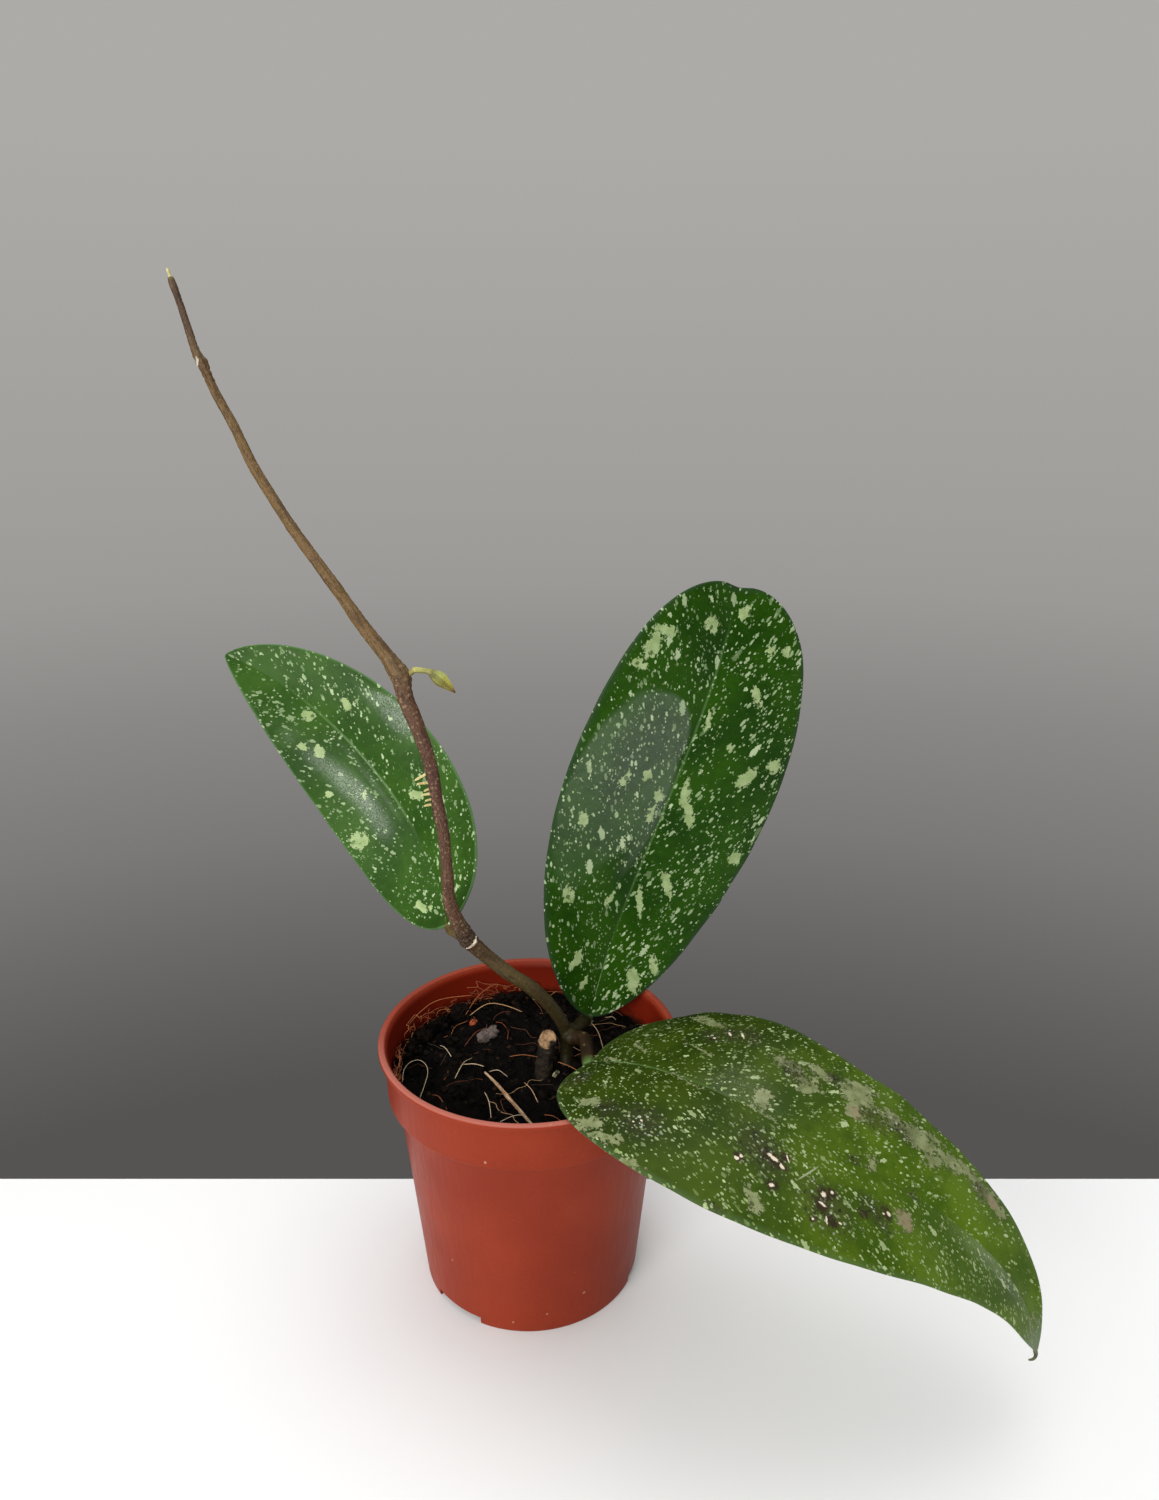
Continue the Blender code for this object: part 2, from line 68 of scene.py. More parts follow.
import bmesh
import bpy
from mathutils import Matrix, Vector, noise
from mathutils.kdtree import KDTree

MM = 0.001
scene = bpy.context.scene


def add_object(name, data):
    """A new object in the scene, from a mesh, a lamp or a camera."""
    made = bpy.data.objects.new(name, data)
    scene.collection.objects.link(made)
    return made


print("one unit here is", MM, "m")

# %% [markdown]
# ## The camera
# A phone held about 40 cm away looks slightly down on the plant. The lens is short, so near things
# look larger: the drooping leaf gains a lot from it. The aim below is the phone's own place and
# tilt, found from the ellipses of the pot's rim and foot.

# %% Camera
CAMERA_PLACE = Vector((15.4, -302.3, 279.3))
CAMERA_TILT = math.radians(70.54)
CAMERA_LENS = 27.84
SENSOR_WIDTH = 36.0

camera_data = bpy.data.cameras.new("camera")
camera_data.lens = CAMERA_LENS
camera_data.sensor_width = SENSOR_WIDTH
camera_data.clip_start = 0.01
camera = add_object("camera", camera_data)
camera.location = CAMERA_PLACE * MM
camera.rotation_euler = (CAMERA_TILT, 0.0, 0.0)
scene.camera = camera
scene.view_settings.view_transform = "Standard"
print("camera stands", round(CAMERA_PLACE.length), "mm from the pot's foot")

# %% [markdown]
# ## Helpers for materials
# A node tree is a lot of small boxes and wires. Helpers keep the recipes short: `wire` adds one
# node, sets its options and connects its inputs, and the others use it for arithmetic, for colours
# and for places. Each returns an output socket, so that a recipe reads like a formula.

# %% Node helpers
def wire(tree, kind, output=0, inputs=None, **options):
    """Adds a node of this kind, fills its inputs with values or sockets, and returns one output."""
    node = tree.nodes.new("ShaderNode" + kind)
    for option, value in options.items():
        setattr(node, option, value)
    for key, value in (inputs or {}).items():
        if isinstance(value, bpy.types.NodeSocket):
            tree.links.new(value, node.inputs[key])
        else:
            node.inputs[key].default_value = value
    return node.outputs[output]


def calculate(tree, operation, *values):
    """One arithmetic step on numbers or sockets."""
    return wire(tree, "Math", inputs=dict(enumerate(values)), operation=operation)


def times(tree, first, second):
    """Two numbers or sockets multiplied, as where one mask weakens another."""
    return calculate(tree, "MULTIPLY", first, second)


def plus(tree, first, second):
    """Two numbers or sockets added up."""
    return calculate(tree, "ADD", first, second)


def blend(tree, factor, first, second, way="MIX"):
    """Mixes two colours, given as linear red, green, blue or as sockets."""
    inputs = {0: factor}
    for key, colour in ((6, first), (7, second)):
        inputs[key] = colour if isinstance(colour, bpy.types.NodeSocket) else (*colour, 1.0)
    return wire(tree, "Mix", output=2, inputs=inputs, data_type="RGBA", blend_type=way)


def lay(tree, colour, mask, share, tone):
    """Lays a tone over a colour where a mask is, at a share of its strength."""
    return blend(tree, times(tree, mask, share), colour, tone)


def grain(tree, place, scale, detail=3.0, roughness=0.5):
    """Soft noise from 0 to 1; scale is in waves per millimetre of the place that it reads."""
    inputs = {"Vector": place, "Scale": scale, "Detail": detail, "Roughness": roughness}
    return wire(tree, "TexNoise", inputs=inputs)


def step_up(tree, value, low, high, to_low=0.0, to_high=1.0):
    """Turns a value into a mask that rises smoothly from low to high."""
    inputs = {"Value": value, "From Min": low, "From Max": high, "To Min": to_low, "To Max": to_high}
    return wire(tree, "MapRange", inputs=inputs, interpolation_type="SMOOTHSTEP")


def measured(tree, name):
    """Reads a number that was stored on each point of the mesh."""
    return wire(tree, "Attribute", output="Fac", attribute_name=name)


def on_place(tree, operation, place, value):
    """One step of vector arithmetic: SCALE takes a number, the others take a second vector."""
    key = "Scale" if operation == "SCALE" else 1
    return wire(tree, "VectorMath", inputs={0: place, key: value}, operation=operation)


def turn_place(tree, place, angle):
    """A place turned about Z."""
    return wire(tree, "VectorRotate", inputs={"Vector": place, "Angle": angle}, rotation_type="Z_AXIS")


def stretch_place(tree, place, *scales):
    """A place scaled along X, Y and Z, which draws a pattern out where the scale is small."""
    return wire(tree, "Mapping", inputs={0: place, 3: scales})


def axis(tree, place, letter):
    """One coordinate of a place."""
    return wire(tree, "SeparateXYZ", output=letter, inputs={0: place})


def millimetres(tree):
    """The place on the object in millimetres, so that patterns keep their real size."""
    return on_place(tree, "SCALE", wire(tree, "TexCoord", output="Object"), 1.0 / MM)


print("material helpers ready")

# %% [markdown]
# A group is a recipe that several materials share, with its own named inputs and outputs. `group`
# makes an empty one from lists of sockets, and `use` places it in a tree. `finish` makes a material
# with one Principled shader, and `dress` gives that shader its colour and its relief.

# %% Groups and materials
def group(name, inputs, outputs):
    """An empty shader group: inputs are name, type, default, and outputs are name, type."""
    made = bpy.data.node_groups.new(name, "ShaderNodeTree")
    for label, kind, default in inputs:
        socket = made.interface.new_socket(label, in_out="INPUT", socket_type="NodeSocket" + kind)
        if default is not None:
            socket.default_value = default
    for label, kind in outputs:
        made.interface.new_socket(label, in_out="OUTPUT", socket_type="NodeSocket" + kind)
    return made, made.nodes.new("NodeGroupInput").outputs, made.nodes.new("NodeGroupOutput").inputs


def use(tree, made, **inputs):
    """Places a group and returns its outputs; an underscore in a name stands for a space."""
    node = tree.nodes.new("ShaderNodeGroup")
    node.node_tree = made
    for label, value in inputs.items():
        socket = node.inputs[label.replace("_", " ")]
        if isinstance(value, bpy.types.NodeSocket):
            tree.links.new(value, socket)
        elif socket.type == "RGBA":
            socket.default_value = (*value, 1.0)
        else:
            socket.default_value = value
    return node.outputs


def finish(name, roughness, specular=0.5):
    """A new material; its tree, its Principled shader's inputs, and the material itself."""
    made = bpy.data.materials.new(name)
    made.use_nodes = True
    shader = made.node_tree.nodes["Principled BSDF"]
    shader.inputs["Roughness"].default_value = roughness
    shader.inputs["Specular IOR Level"].default_value = specular
    return made.node_tree, shader.inputs, made


def dress(tree, shader, colour, height, distance, strength):
    """Connects a colour, and a relief whose height of 1 stands for a distance in millimetres."""
    tree.links.new(colour, shader["Base Color"])
    inputs = {"Height": height, "Distance": distance * MM, "Strength": strength}
    tree.links.new(wire(tree, "Bump", inputs=inputs), shader["Normal"])


print("group helpers ready")

# %% [markdown]
# ## Two shared effects
# Nothing that grew or was moulded has one flat colour. `Mottle` drifts between two colours in soft
# clouds with a finer grain on top, and also gives the grain as a height. Every dry, woody or
# plastic surface here uses it with its own sizes, and the plainest ones are `two_tone`.

# %% Mottle
mottle, ins, outs = group(
    "Mottle",
    [
        ("Place", "Vector", None), ("First", "Color", (0.5, 0.5, 0.5, 1.0)),
        ("Second", "Color", (0.3, 0.3, 0.3, 1.0)), ("Cloud Scale", "Float", 0.1),
        ("Grain Scale", "Float", 2.0), ("Grain Share", "Float", 0.4),
    ],
    [("Color", "Color"), ("Height", "Float")],
)
clouds = grain(mottle, ins["Place"], ins["Cloud Scale"], 2.0)
fine = grain(mottle, ins["Place"], ins["Grain Scale"], 4.0, 0.65)
mixed = wire(mottle, "Mix", inputs={0: ins["Grain Share"], 2: clouds, 3: fine})
mottle.links.new(
    blend(mottle, step_up(mottle, mixed, 0.35, 0.65), ins["First"], ins["Second"]), outs["Color"],
)
mottle.links.new(fine, outs["Height"])


def mottled(tree, place, first, second, cloud, fine, share=0.4):
    """Places the Mottle group; its outputs are the colour and the grain as a height."""
    return use(
        tree, mottle, Place=place, First=first, Second=second, Cloud_Scale=cloud, Grain_Scale=fine,
        Grain_Share=share,
    )


def two_tone(name, roughness, specular, first, second, cloud, fine, distance, strength):
    """A plain dry material: two mottled tones, with their grain as relief."""
    tree, shader, made = finish(name, roughness, specular)
    tone, height = mottled(tree, millimetres(tree), first, second, cloud, fine)
    dress(tree, shader, tone, height, distance, strength)
    return made


print("shared group:", mottle.name)

# %% [markdown]
# `Specks` scatters small irregular dots. Voronoi cells give each dot a home, a random number
# decides whether it is there and how large it is, and a little noise bends its edge. The leaf
# flecks, the pale pores of the bark and the dust on the pot are all this one recipe.

# %% Specks
specks, ins, outs = group(
    "Specks",
    [
        ("Place", "Vector", None), ("Size", "Float", 1.0), ("Stretch", "Float", 1.0),
        ("Amount", "Float", 0.5), ("Edge", "Float", 0.3),
    ],
    [("Mask", "Float"), ("Random", "Float")],
)
wobble = wire(
    specks, "TexNoise", output="Color", inputs={"Vector": ins["Place"], "Scale": 1.3, "Detail": 2.0},
)
bent = on_place(specks, "ADD", ins["Place"], on_place(specks, "SCALE", wobble, ins["Edge"]))
tall = times(specks, ins["Size"], ins["Stretch"])
cell = wire(specks, "CombineXYZ", inputs={0: ins["Size"], 1: tall, 2: ins["Size"]})
scaled = on_place(specks, "DIVIDE", bent, cell)
voronoi = wire(specks, "TexVoronoi", inputs={"Vector": scaled, "Scale": 1.0}).node.outputs
draw = wire(specks, "SeparateColor", inputs={0: voronoi["Color"]}).node.outputs
present = calculate(specks, "LESS_THAN", draw[0], ins["Amount"])
reach = step_up(specks, draw[1], 0.0, 1.0, 0.12, 0.48)
inside = step_up(specks, calculate(specks, "SUBTRACT", reach, voronoi["Distance"]), -0.02, 0.04)
specks.links.new(times(specks, present, inside), outs["Mask"])
specks.links.new(draw[2], outs["Random"])


def speckle(tree, place, size, amount, edge):
    """The mask of the Specks group at a place."""
    return use(tree, specks, Place=place, Size=size, Amount=amount, Edge=edge)["Mask"]


print("shared group:", specks.name)

# %% [markdown]
# ## Helpers for shapes
# Stems, petioles, fibres and roots are all one idea: a ring carried along a line. `smooth` rounds a
# few chosen points into a curve, and `sweep` carries the ring. The ring is turned as little as
# possible from step to step, so that it doesn't twist where the line bends.

# %% Smooth lines and swept tubes
def smooth(path, cuts):
    """Catmull-Rom points through a path whose rows are x, y, z and anything else, such as a radius."""
    rows = [Vector(p) for p in path]
    rows = [rows[0]] + rows + [rows[-1]]
    made = []
    for a, b, c, d in zip(rows, rows[1:], rows[2:], rows[3:]):
        for k in range(cuts):
            t = k / cuts
            near = b * 2.0 + (c - a) * t
            far = (a * 2.0 - b * 5.0 + c * 4.0 - d) * t**2 + (b * 3.0 - a - c * 3.0 + d) * t**3
            made.append((near + far) * 0.5)
    made.append(rows[-1])
    return made


def lengths_along(points):
    """Millimetres along a line from its first point to each of its points."""
    made = [0.0]
    for one, two in zip(points, points[1:]):
        made.append(made[-1] + (two - one).length)
    return made


def ring_directions(places):
    """For each place on a line, two directions across it that turn as little as possible."""
    side = None
    made = []
    for k in range(len(places)):
        ahead = (places[min(k + 1, len(places) - 1)] - places[max(k - 1, 0)]).normalized()
        if side is None:
            side = ahead.orthogonal().normalized()
        side = (side - ahead * side.dot(ahead)).normalized()
        made.append((side, ahead.cross(side)))
    return made


def loft(bm, rings):
    """Joins closed rings of points into a skin with a cap at both ends."""
    count = len(rings[0])
    for one, two in zip(rings, rings[1:]):
        for k in range(count):
            j = (k + 1) % count
            bm.faces.new((one[k], one[j], two[j], two[k]))
    bm.faces.new(rings[0][::-1])
    bm.faces.new(rings[-1])


def sweep(bm, path, sides, tone=None):
    """Adds a closed tube along rows of x, y, z and radius; returns its points, ring by ring."""
    layer = None
    if tone is not None:
        layer = bm.verts.layers.float.get("tone") or bm.verts.layers.float.new("tone")
    places = [Vector(row[:3]) for row in path]
    rings = []
    for place, row, (across, up) in zip(places, path, ring_directions(places)):
        ring = []
        for k in range(sides):
            turn = math.tau * k / sides
            ring.append(bm.verts.new(place + (across * math.cos(turn) + up * math.sin(turn)) * row[3]))
            if layer is not None:
                ring[-1][layer] = tone
        rings.append(ring)
    loft(bm, rings)
    return rings


def rough(x, y, z):
    """Smooth noise at a place, from about -1 to 1."""
    return noise.noise(Vector((x, y, z)))


def on_circle(turn, radius):
    """The x and y of a place on a circle about the origin."""
    return radius * math.cos(turn), radius * math.sin(turn)


print("a swept tube of 3 points has", len(smooth([(0, 0, 0, 1), (0, 0, 1, 1), (0, 1, 2, 1)], 4)), "rings")

# %% [markdown]
# Every piece ends in the same way: the mesh is scaled from millimetres to metres, shaded smooth
# with its sharp edges kept, given its material and tied to the imported body, and the imported
# pieces that it stands for are hidden.

# %% Finish a piece
SHARP_ANGLE = math.radians(40.0)
EASE_ROUNDS = 3
made_pieces = {}


def to_mesh(bm, name):
    """Closes a bmesh that was built in millimetres into a mesh in metres."""
    bmesh.ops.recalc_face_normals(bm, faces=bm.faces)
    bmesh.ops.scale(bm, vec=(MM, MM, MM), verts=bm.verts)
    mesh = bpy.data.meshes.new(name)
    bm.to_mesh(mesh)
    bm.free()
    return mesh


def tubes(name, paths, sides):
    """One mesh of a swept tube along each path."""
    bm = bmesh.new()
    for path in paths:
        sweep(bm, path, sides)
    return to_mesh(bm, name)


def place_piece(name, mesh, material, nodes=(), sharp=SHARP_ANGLE):
    """Makes the object, gives it its material, shades it, rides it on the body and hides what it
    replaces.
    """
    mesh.materials.clear()
    mesh.materials.append(material)
    mesh.shade_smooth()
    mesh.set_sharp_from_angle(angle=sharp)
    piece = add_object(name, mesh)
    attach(piece, "root")
    if nodes:
        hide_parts(*nodes)
    made_pieces[name] = sum(len(face.vertices) - 2 for face in mesh.polygons)
    print(name, "has", made_pieces[name], "triangles")


def store(mesh, name, values):
    """Keeps one number per point on the mesh, for its material to read."""
    mesh.attributes.new(name, "FLOAT", "POINT").data.foreach_set("value", values)


def worked_out(blank, *tools):
    """The mesh that an object's modifiers give; the object and its tools are then removed."""
    bpy.context.view_layer.update()
    shape = blank.evaluated_get(bpy.context.evaluated_depsgraph_get())
    made = bpy.data.meshes.new_from_object(shape)
    for thing in (blank, *tools):
        bpy.data.objects.remove(thing)
    return made


def remeshed(mesh, voxel):
    """One closed skin around everything in the mesh, with cells of this size in millimetres."""
    blank = add_object("blank", mesh)
    skin = blank.modifiers.new("skin", "REMESH")
    skin.mode = "VOXEL"
    skin.voxel_size = voxel * MM
    ease = blank.modifiers.new("ease", "SMOOTH")
    ease.iterations = EASE_ROUNDS
    return worked_out(blank)


def push_out(mesh, relief):
    """Moves each point along its normal, by what the relief gives for its place, in millimetres."""
    normals = [vertex.normal.copy() for vertex in mesh.vertices]
    for vertex, normal in zip(mesh.vertices, normals):
        vertex.co += normal * relief(vertex.co / MM) * MM


print("piece helpers ready")

# %% [markdown]
# ## The pot
# A nursery pot is moulded thin plastic: a lip, a deep collar that stiffens the mouth, a tapering
# body and a foot ring. It is a body of revolution, so one half outline and a Screw modifier make
# it. Real moulded corners are never sharp, so each corner of the outline is first rounded.

# %% Pot outline
POT_HEIGHT = 82.0
RIM_RADIUS = 45.0
COLLAR_FOOT = 66.0
COLLAR_RADIUS = 43.1
COLLAR_FOOT_RADIUS = 42.8
BODY_TOP_RADIUS = 39.8
FOOT_RADIUS = 33.6
WALL = 1.0
POT_STEPS = 192
ROUNDING = 0.45
FOOT_LOOP = 3.6


def outer_radius(z):
    """The body's outer radius at a height below the collar."""
    return FOOT_RADIUS + (BODY_TOP_RADIUS - FOOT_RADIUS) * (z - 0.3) / (COLLAR_FOOT - 1.3)


pot_outline = (
    (0.0, 4.2), (FOOT_RADIUS - 0.6, 4.2), (BODY_TOP_RADIUS - WALL, COLLAR_FOOT - 1.2),
    (COLLAR_FOOT_RADIUS - WALL, COLLAR_FOOT + 0.4), (COLLAR_RADIUS - WALL, 80.0),
    (COLLAR_RADIUS - 0.2, POT_HEIGHT - 0.5), (COLLAR_RADIUS + 0.2, POT_HEIGHT),
    (RIM_RADIUS - 0.4, POT_HEIGHT), (RIM_RADIUS, POT_HEIGHT - 0.3), (RIM_RADIUS, 80.6),
    (RIM_RADIUS - 0.3, 80.4), (COLLAR_RADIUS + 0.3, 80.2), (COLLAR_RADIUS, 79.8),
    (COLLAR_FOOT_RADIUS, COLLAR_FOOT), (COLLAR_FOOT_RADIUS - 0.5, COLLAR_FOOT - 0.6),
    (BODY_TOP_RADIUS, COLLAR_FOOT - 1.0), (outer_radius(FOOT_LOOP), FOOT_LOOP), (FOOT_RADIUS, 0.3),
    (FOOT_RADIUS - 0.3, 0.0), (FOOT_RADIUS - 1.2, 0.0), (FOOT_RADIUS - 1.1, 3.2), (9.6, 3.2), (9.0, 0.0),
    (0.0, 0.0),
)


def rounded(points, reach):
    """Replaces each inner corner by a short curve that starts and ends this far from it."""
    rows = [Vector(p) for p in points]
    made = [rows[0]]
    for before, corner, after in zip(rows, rows[1:], rows[2:]):
        cut = min(reach, 0.4 * (corner - before).length, 0.4 * (after - corner).length)
        start = corner + (before - corner).normalized() * cut
        end = corner + (after - corner).normalized() * cut
        for t in (0.0, 0.5, 1.0):
            made.append(start.lerp(corner, t).lerp(corner.lerp(end, t), t))
    return made + [rows[-1]]


pot_profile = rounded(pot_outline, ROUNDING)
print("pot outline:", len(pot_outline), "corners,", len(pot_profile), "points after rounding")

# %% [markdown]
# Water leaves through three holes in the floor, and three notches in the foot ring let it run out
# from under the pot. Both are cut with Booleans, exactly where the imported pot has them.

# %% Pot mesh
NOTCH_AZIMUTHS = (230.0, 350.0, 110.0)
NOTCH_SIZE = (7.0, 17.4, 5.2)
DRAIN_RADIUS = 3.6
DRAIN_CENTRE = 26.5
DRAIN_LEVEL = 4.0
DRAIN_DEPTH = 8.0


def notch_tool(turn):
    """A block that cuts one notch into the foot ring."""
    bm = bmesh.new()
    bmesh.ops.create_cube(bm, size=1.0, matrix=Matrix.Diagonal((*NOTCH_SIZE, 1.0)))
    tool = add_object("notch", to_mesh(bm, "notch"))
    tool.rotation_euler.z = turn
    tool.location = Vector((math.cos(turn), math.sin(turn), 0.0)) * FOOT_RADIUS * MM
    return tool


def drain_tool(turn):
    """A cylinder that cuts one drain hole."""
    bm = bmesh.new()
    bmesh.ops.create_cone(
        bm, cap_ends=True, segments=40, radius1=DRAIN_RADIUS, radius2=DRAIN_RADIUS, depth=DRAIN_DEPTH,
    )
    tool = add_object("drain", to_mesh(bm, "drain"))
    tool.location = Vector((*on_circle(turn, DRAIN_CENTRE), DRAIN_LEVEL)) * MM
    return tool


def turned_pot():
    """The outline turned about Z, with the notches and drain holes cut out."""
    mesh = bpy.data.meshes.new("pot_turned")
    points = [(r * MM, 0.0, z * MM) for r, z in pot_profile]
    mesh.from_pydata(points, [(k, k + 1) for k in range(len(points) - 1)], [])
    blank = add_object("pot_blank", mesh)
    screw = blank.modifiers.new("turn", "SCREW")
    screw.steps = POT_STEPS
    screw.render_steps = POT_STEPS
    screw.use_merge_vertices = True
    screw.merge_threshold = 0.00001
    turns = [math.radians(azimuth) for azimuth in NOTCH_AZIMUTHS]
    tools = [make(turn) for turn in turns for make in (notch_tool, drain_tool)]
    for tool in tools:
        cut = blank.modifiers.new(tool.name, "BOOLEAN")
        cut.operation = "DIFFERENCE"
        cut.solver = "EXACT"
        cut.object = tool
    return worked_out(blank, *tools)


pot_mesh = turned_pot()
print("the pot mesh has", len(pot_mesh.polygons), "faces")

# %% [markdown]
# The plastic is a satin terracotta red. Up close it drifts a little in colour, carries fine
# vertical flow marks from the mould and a few pale specks of dust. The inside is painted a darker
# red as shade, and just above the peat it is stained dark by wet peat. A painted highlight runs
# along the top of the lip, strongest at the front. Where the wall is inside is stored on the
# points, because the shader can't tell.

# %% Pot finish
PEAT_TOP = 70.2


def inner_share(place):
    """1 on the inner wall and floor, 0 on the outside."""
    radius = math.hypot(place.x, place.y)
    limit = outer_radius(place.z) if place.z < COLLAR_FOOT - 1.0 else COLLAR_FOOT_RADIUS
    return float(place.z > 3.7 and radius < limit - 0.45)


store(pot_mesh, "inside", [inner_share(v.co / MM) for v in pot_mesh.vertices])

tree, shader, pot_plastic = finish("moulded_terracotta", 0.42, 0.08)
place = millimetres(tree)
body_tone = mottled(tree, place, (0.29, 0.038, 0.0145), (0.24, 0.029, 0.0115), 0.035, 1.2, 0.35)
dusted = lay(tree, body_tone[0], speckle(tree, place, 1.0, 0.002, 0.5), 0.5, (0.7, 0.4, 0.3))
height = axis(tree, place, "Z")
# Painted highlight: lip and front lay a paler line on the top of the lip, stronger at the front, in the
# last line of this cell.
lip = step_up(tree, height, POT_HEIGHT - 0.5, POT_HEIGHT - 0.1)
front = step_up(tree, axis(tree, place, "Y"), 10.0, -25.0, 0.08, 0.42)
stain_edge = plus(tree, height, times(tree, grain(tree, place, 0.35), -7.0))
stain = step_up(tree, stain_edge, PEAT_TOP + 0.5, PEAT_TOP - 5.0)
# Painted shade: the inner wall and floor get a darker red than the outside. The band near the peat laid
# on next is a stain.
inner = blend(tree, measured(tree, "inside"), dusted, (0.17, 0.0125, 0.004))
inner_shade_and_stain = lay(tree, inner, measured(tree, "inside"), stain, (0.02, 0.006, 0.003))
flow = grain(tree, stretch_place(tree, place, 1.0, 1.0, 0.06), 0.9, 2.0)
tree.links.new(step_up(tree, flow, 0.2, 0.8, 0.36, 0.48), shader["Roughness"])
peel = plus(tree, times(tree, flow, 0.5), body_tone[1])
dress(tree, shader, lay(tree, inner_shade_and_stain, lip, front, (0.6, 0.25, 0.2)), peel, 0.05, 0.5)
place_piece("pot_fine", pot_mesh, pot_plastic, ["pot"], math.radians(30.0))

# %% [markdown]
# ## The leaves
# Each blade follows one curve, its midrib, and opens to both sides by an outline formula with two
# powers: the first makes the base blunt or slim, the second does the same for the tip. `base_face`
# and `tip_face` say which way the upper side looks (turn from the front, lift from level), and
# `fold` and `cup` bend the cross-section into a shallow V or a dome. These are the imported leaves'
# own numbers, so the fine blades lie exactly where the plain ones were.

# %% Leaf shapes
LEAF_THICK = 1.3
CUP_SCALE = 40.0
DENT_START = 0.85
DENT_WIDTH = 4.5
LEFT_LEAF = {
    "midrib": ((-24.1, 4.8, 115.5), (-32.2, 41.9, 138.4), (-67.9, 44.6, 178.5), (-95.5, 49.1, 186.7)),
    "base_face": (-30.7, 24.7), "tip_face": (-9.4, 33.2), "half_widths": (22.1, 22.3),
    "powers": (0.473, 0.799), "fold": 0.195, "cup": -0.16, "dent": 0.0, "petiole": (1.7, 1.6),
    "ends": (0.0006, 0.9965), "seed": 3.0,
}
UPRIGHT_LEAF = {
    "midrib": ((18.7, 14.1, 78.4), (28.6, 30.8, 118.2), (53.2, 24.8, 163.7), (62.6, 36.2, 211.7)),
    "base_face": (21.2, 7.6), "tip_face": (27.4, 15.4), "half_widths": (36.0, 35.7),
    "powers": (0.581, 0.396), "fold": 0.16, "cup": -0.136, "dent": 1.0, "petiole": (2.1, 1.8),
    "ends": (0.0008, 0.9990), "seed": 11.0,
}
DROOPING_LEAF = {
    "midrib": (
        (18.1, -11.2, 79.3), (52.6, -43.2, 104.5), (65.2, -55.4, 79.2), (133.3, -50.7, 68.2),
        (139.0, -61.3, 21.8),
    ),
    "base_face": (14.5, 82.7), "tip_face": (39.8, 48.1), "half_widths": (36.1, 33.9),
    "powers": (0.357, 0.858), "blunt": (0.0, 0.42), "fold": 0.144, "cup": -0.233, "dent": 0.0,
    "petiole": (2.2, 1.9), "ends": (0.0001, 0.9965), "seed": 23.0,
}


def bezier(points, t):
    """A place on the curve of these points, by cutting every line at t until one point is left."""
    row = [Vector(p) for p in points]
    while len(row) > 1:
        row = [a.lerp(b, t) for a, b in zip(row, row[1:])]
    return row[0]


def facing(turn, lift):
    """The direction that is turned from the front and lifted from level, in degrees."""
    turn, lift = math.radians(turn), math.radians(lift)
    return Vector((math.sin(turn) * math.cos(lift), -math.cos(turn) * math.cos(lift), math.sin(lift)))


def half_width(s, powers):
    """The outline: 0 at both ends and 1 where the leaf is broadest."""
    a, b = powers
    peak = (a + b) ** (a + b) / (a**a * b**b)
    return peak * s**a * (1.0 - s) ** b


def blade_frame(leaf, s):
    """The midrib's place at s, with the directions across the blade and out of its upper face."""
    midrib = leaf["midrib"]
    along = bezier([Vector(b) - Vector(a) for a, b in zip(midrib, midrib[1:])], s).normalized()
    look = facing(*leaf["base_face"]).lerp(facing(*leaf["tip_face"]), s)
    across = along.cross(look).normalized()
    return bezier(midrib, s), across, across.cross(along)


def walked(leaf, s):
    """Millimetres along the midrib from the base to s."""
    part = min(s, 0.9999) * WALK_STEPS
    k = int(part)
    return leaf["walk"][k] + (leaf["walk"][k + 1] - leaf["walk"][k]) * (part - k)


WALK_STEPS = 80
for leaf in (LEFT_LEAF, UPRIGHT_LEAF, DROOPING_LEAF):
    leaf["walk"] = lengths_along([bezier(leaf["midrib"], k / WALK_STEPS) for k in range(WALK_STEPS + 1)])
    leaf["length"] = leaf["walk"][-1]
    print("a leaf of", round(leaf["length"]), "mm, about", round(sum(leaf["half_widths"])), "mm wide")

# %% [markdown]
# A hoya leaf is thick and waxy, with a soft rounded margin. So the blade isn't a sheet: each row is
# a closed ring that goes over the upper side, around the margin and back underneath, and the rows
# are lofted. Near the midrib the columns lie closer, because the crease there is narrow. The
# relief adds what catches the light: the crease, slow waves, and a margin that ripples a little.

# %% Leaf relief
LEAF_ROWS = 150
HALF_COLUMNS = 20
EDGE_ROUND = 0.7
EDGE_TURNS = (25.0, 50.0, 72.0, 90.0)
THIN_MARGIN = 0.3
CREASE_DEPTH = 0.16
CREASE_WIDTH = 0.9
CROWDING = 1.25
SWELL = 0.45
QUILT = 0.1
RIPPLE = 0.9


def half_section(width):
    """Distances from the midrib out to the margin, each with its share of the full thickness."""
    edge = min(EDGE_ROUND, 0.6 * width)
    flat = width - edge
    rows = [(flat * (k / HALF_COLUMNS) ** CROWDING, 1.0) for k in range(HALF_COLUMNS + 1)]
    for degrees in EDGE_TURNS:
        turn = math.radians(degrees)
        rows.append((flat + edge * math.sin(turn), math.cos(turn)))
    return rows


def crease(x, s):
    """The sunk line over the midrib, which fades out towards the tip."""
    return CREASE_DEPTH * math.exp(-((x / CREASE_WIDTH) ** 2)) * min(1.0, 1.6 * (1.0 - s))


def waves(leaf, x, s, width):
    """Slow swells of the whole blade and a ripple that only the margin has."""
    seed = leaf["seed"]
    length = leaf["length"] * s
    swell = rough(x * 0.055, length * 0.035, seed)
    quilt = rough(x * 0.16, length * 0.11, seed + 5.0)
    ripple = rough(math.copysign(2.0, x), length * 0.075, seed + 9.0)
    free = min(1.0, abs(x) / 4.0)
    calm = min(1.0, 9.0 * (1.0 - s))
    return free * (SWELL * swell + QUILT * quilt) + RIPPLE * calm * ripple * (abs(x) / width) ** 4


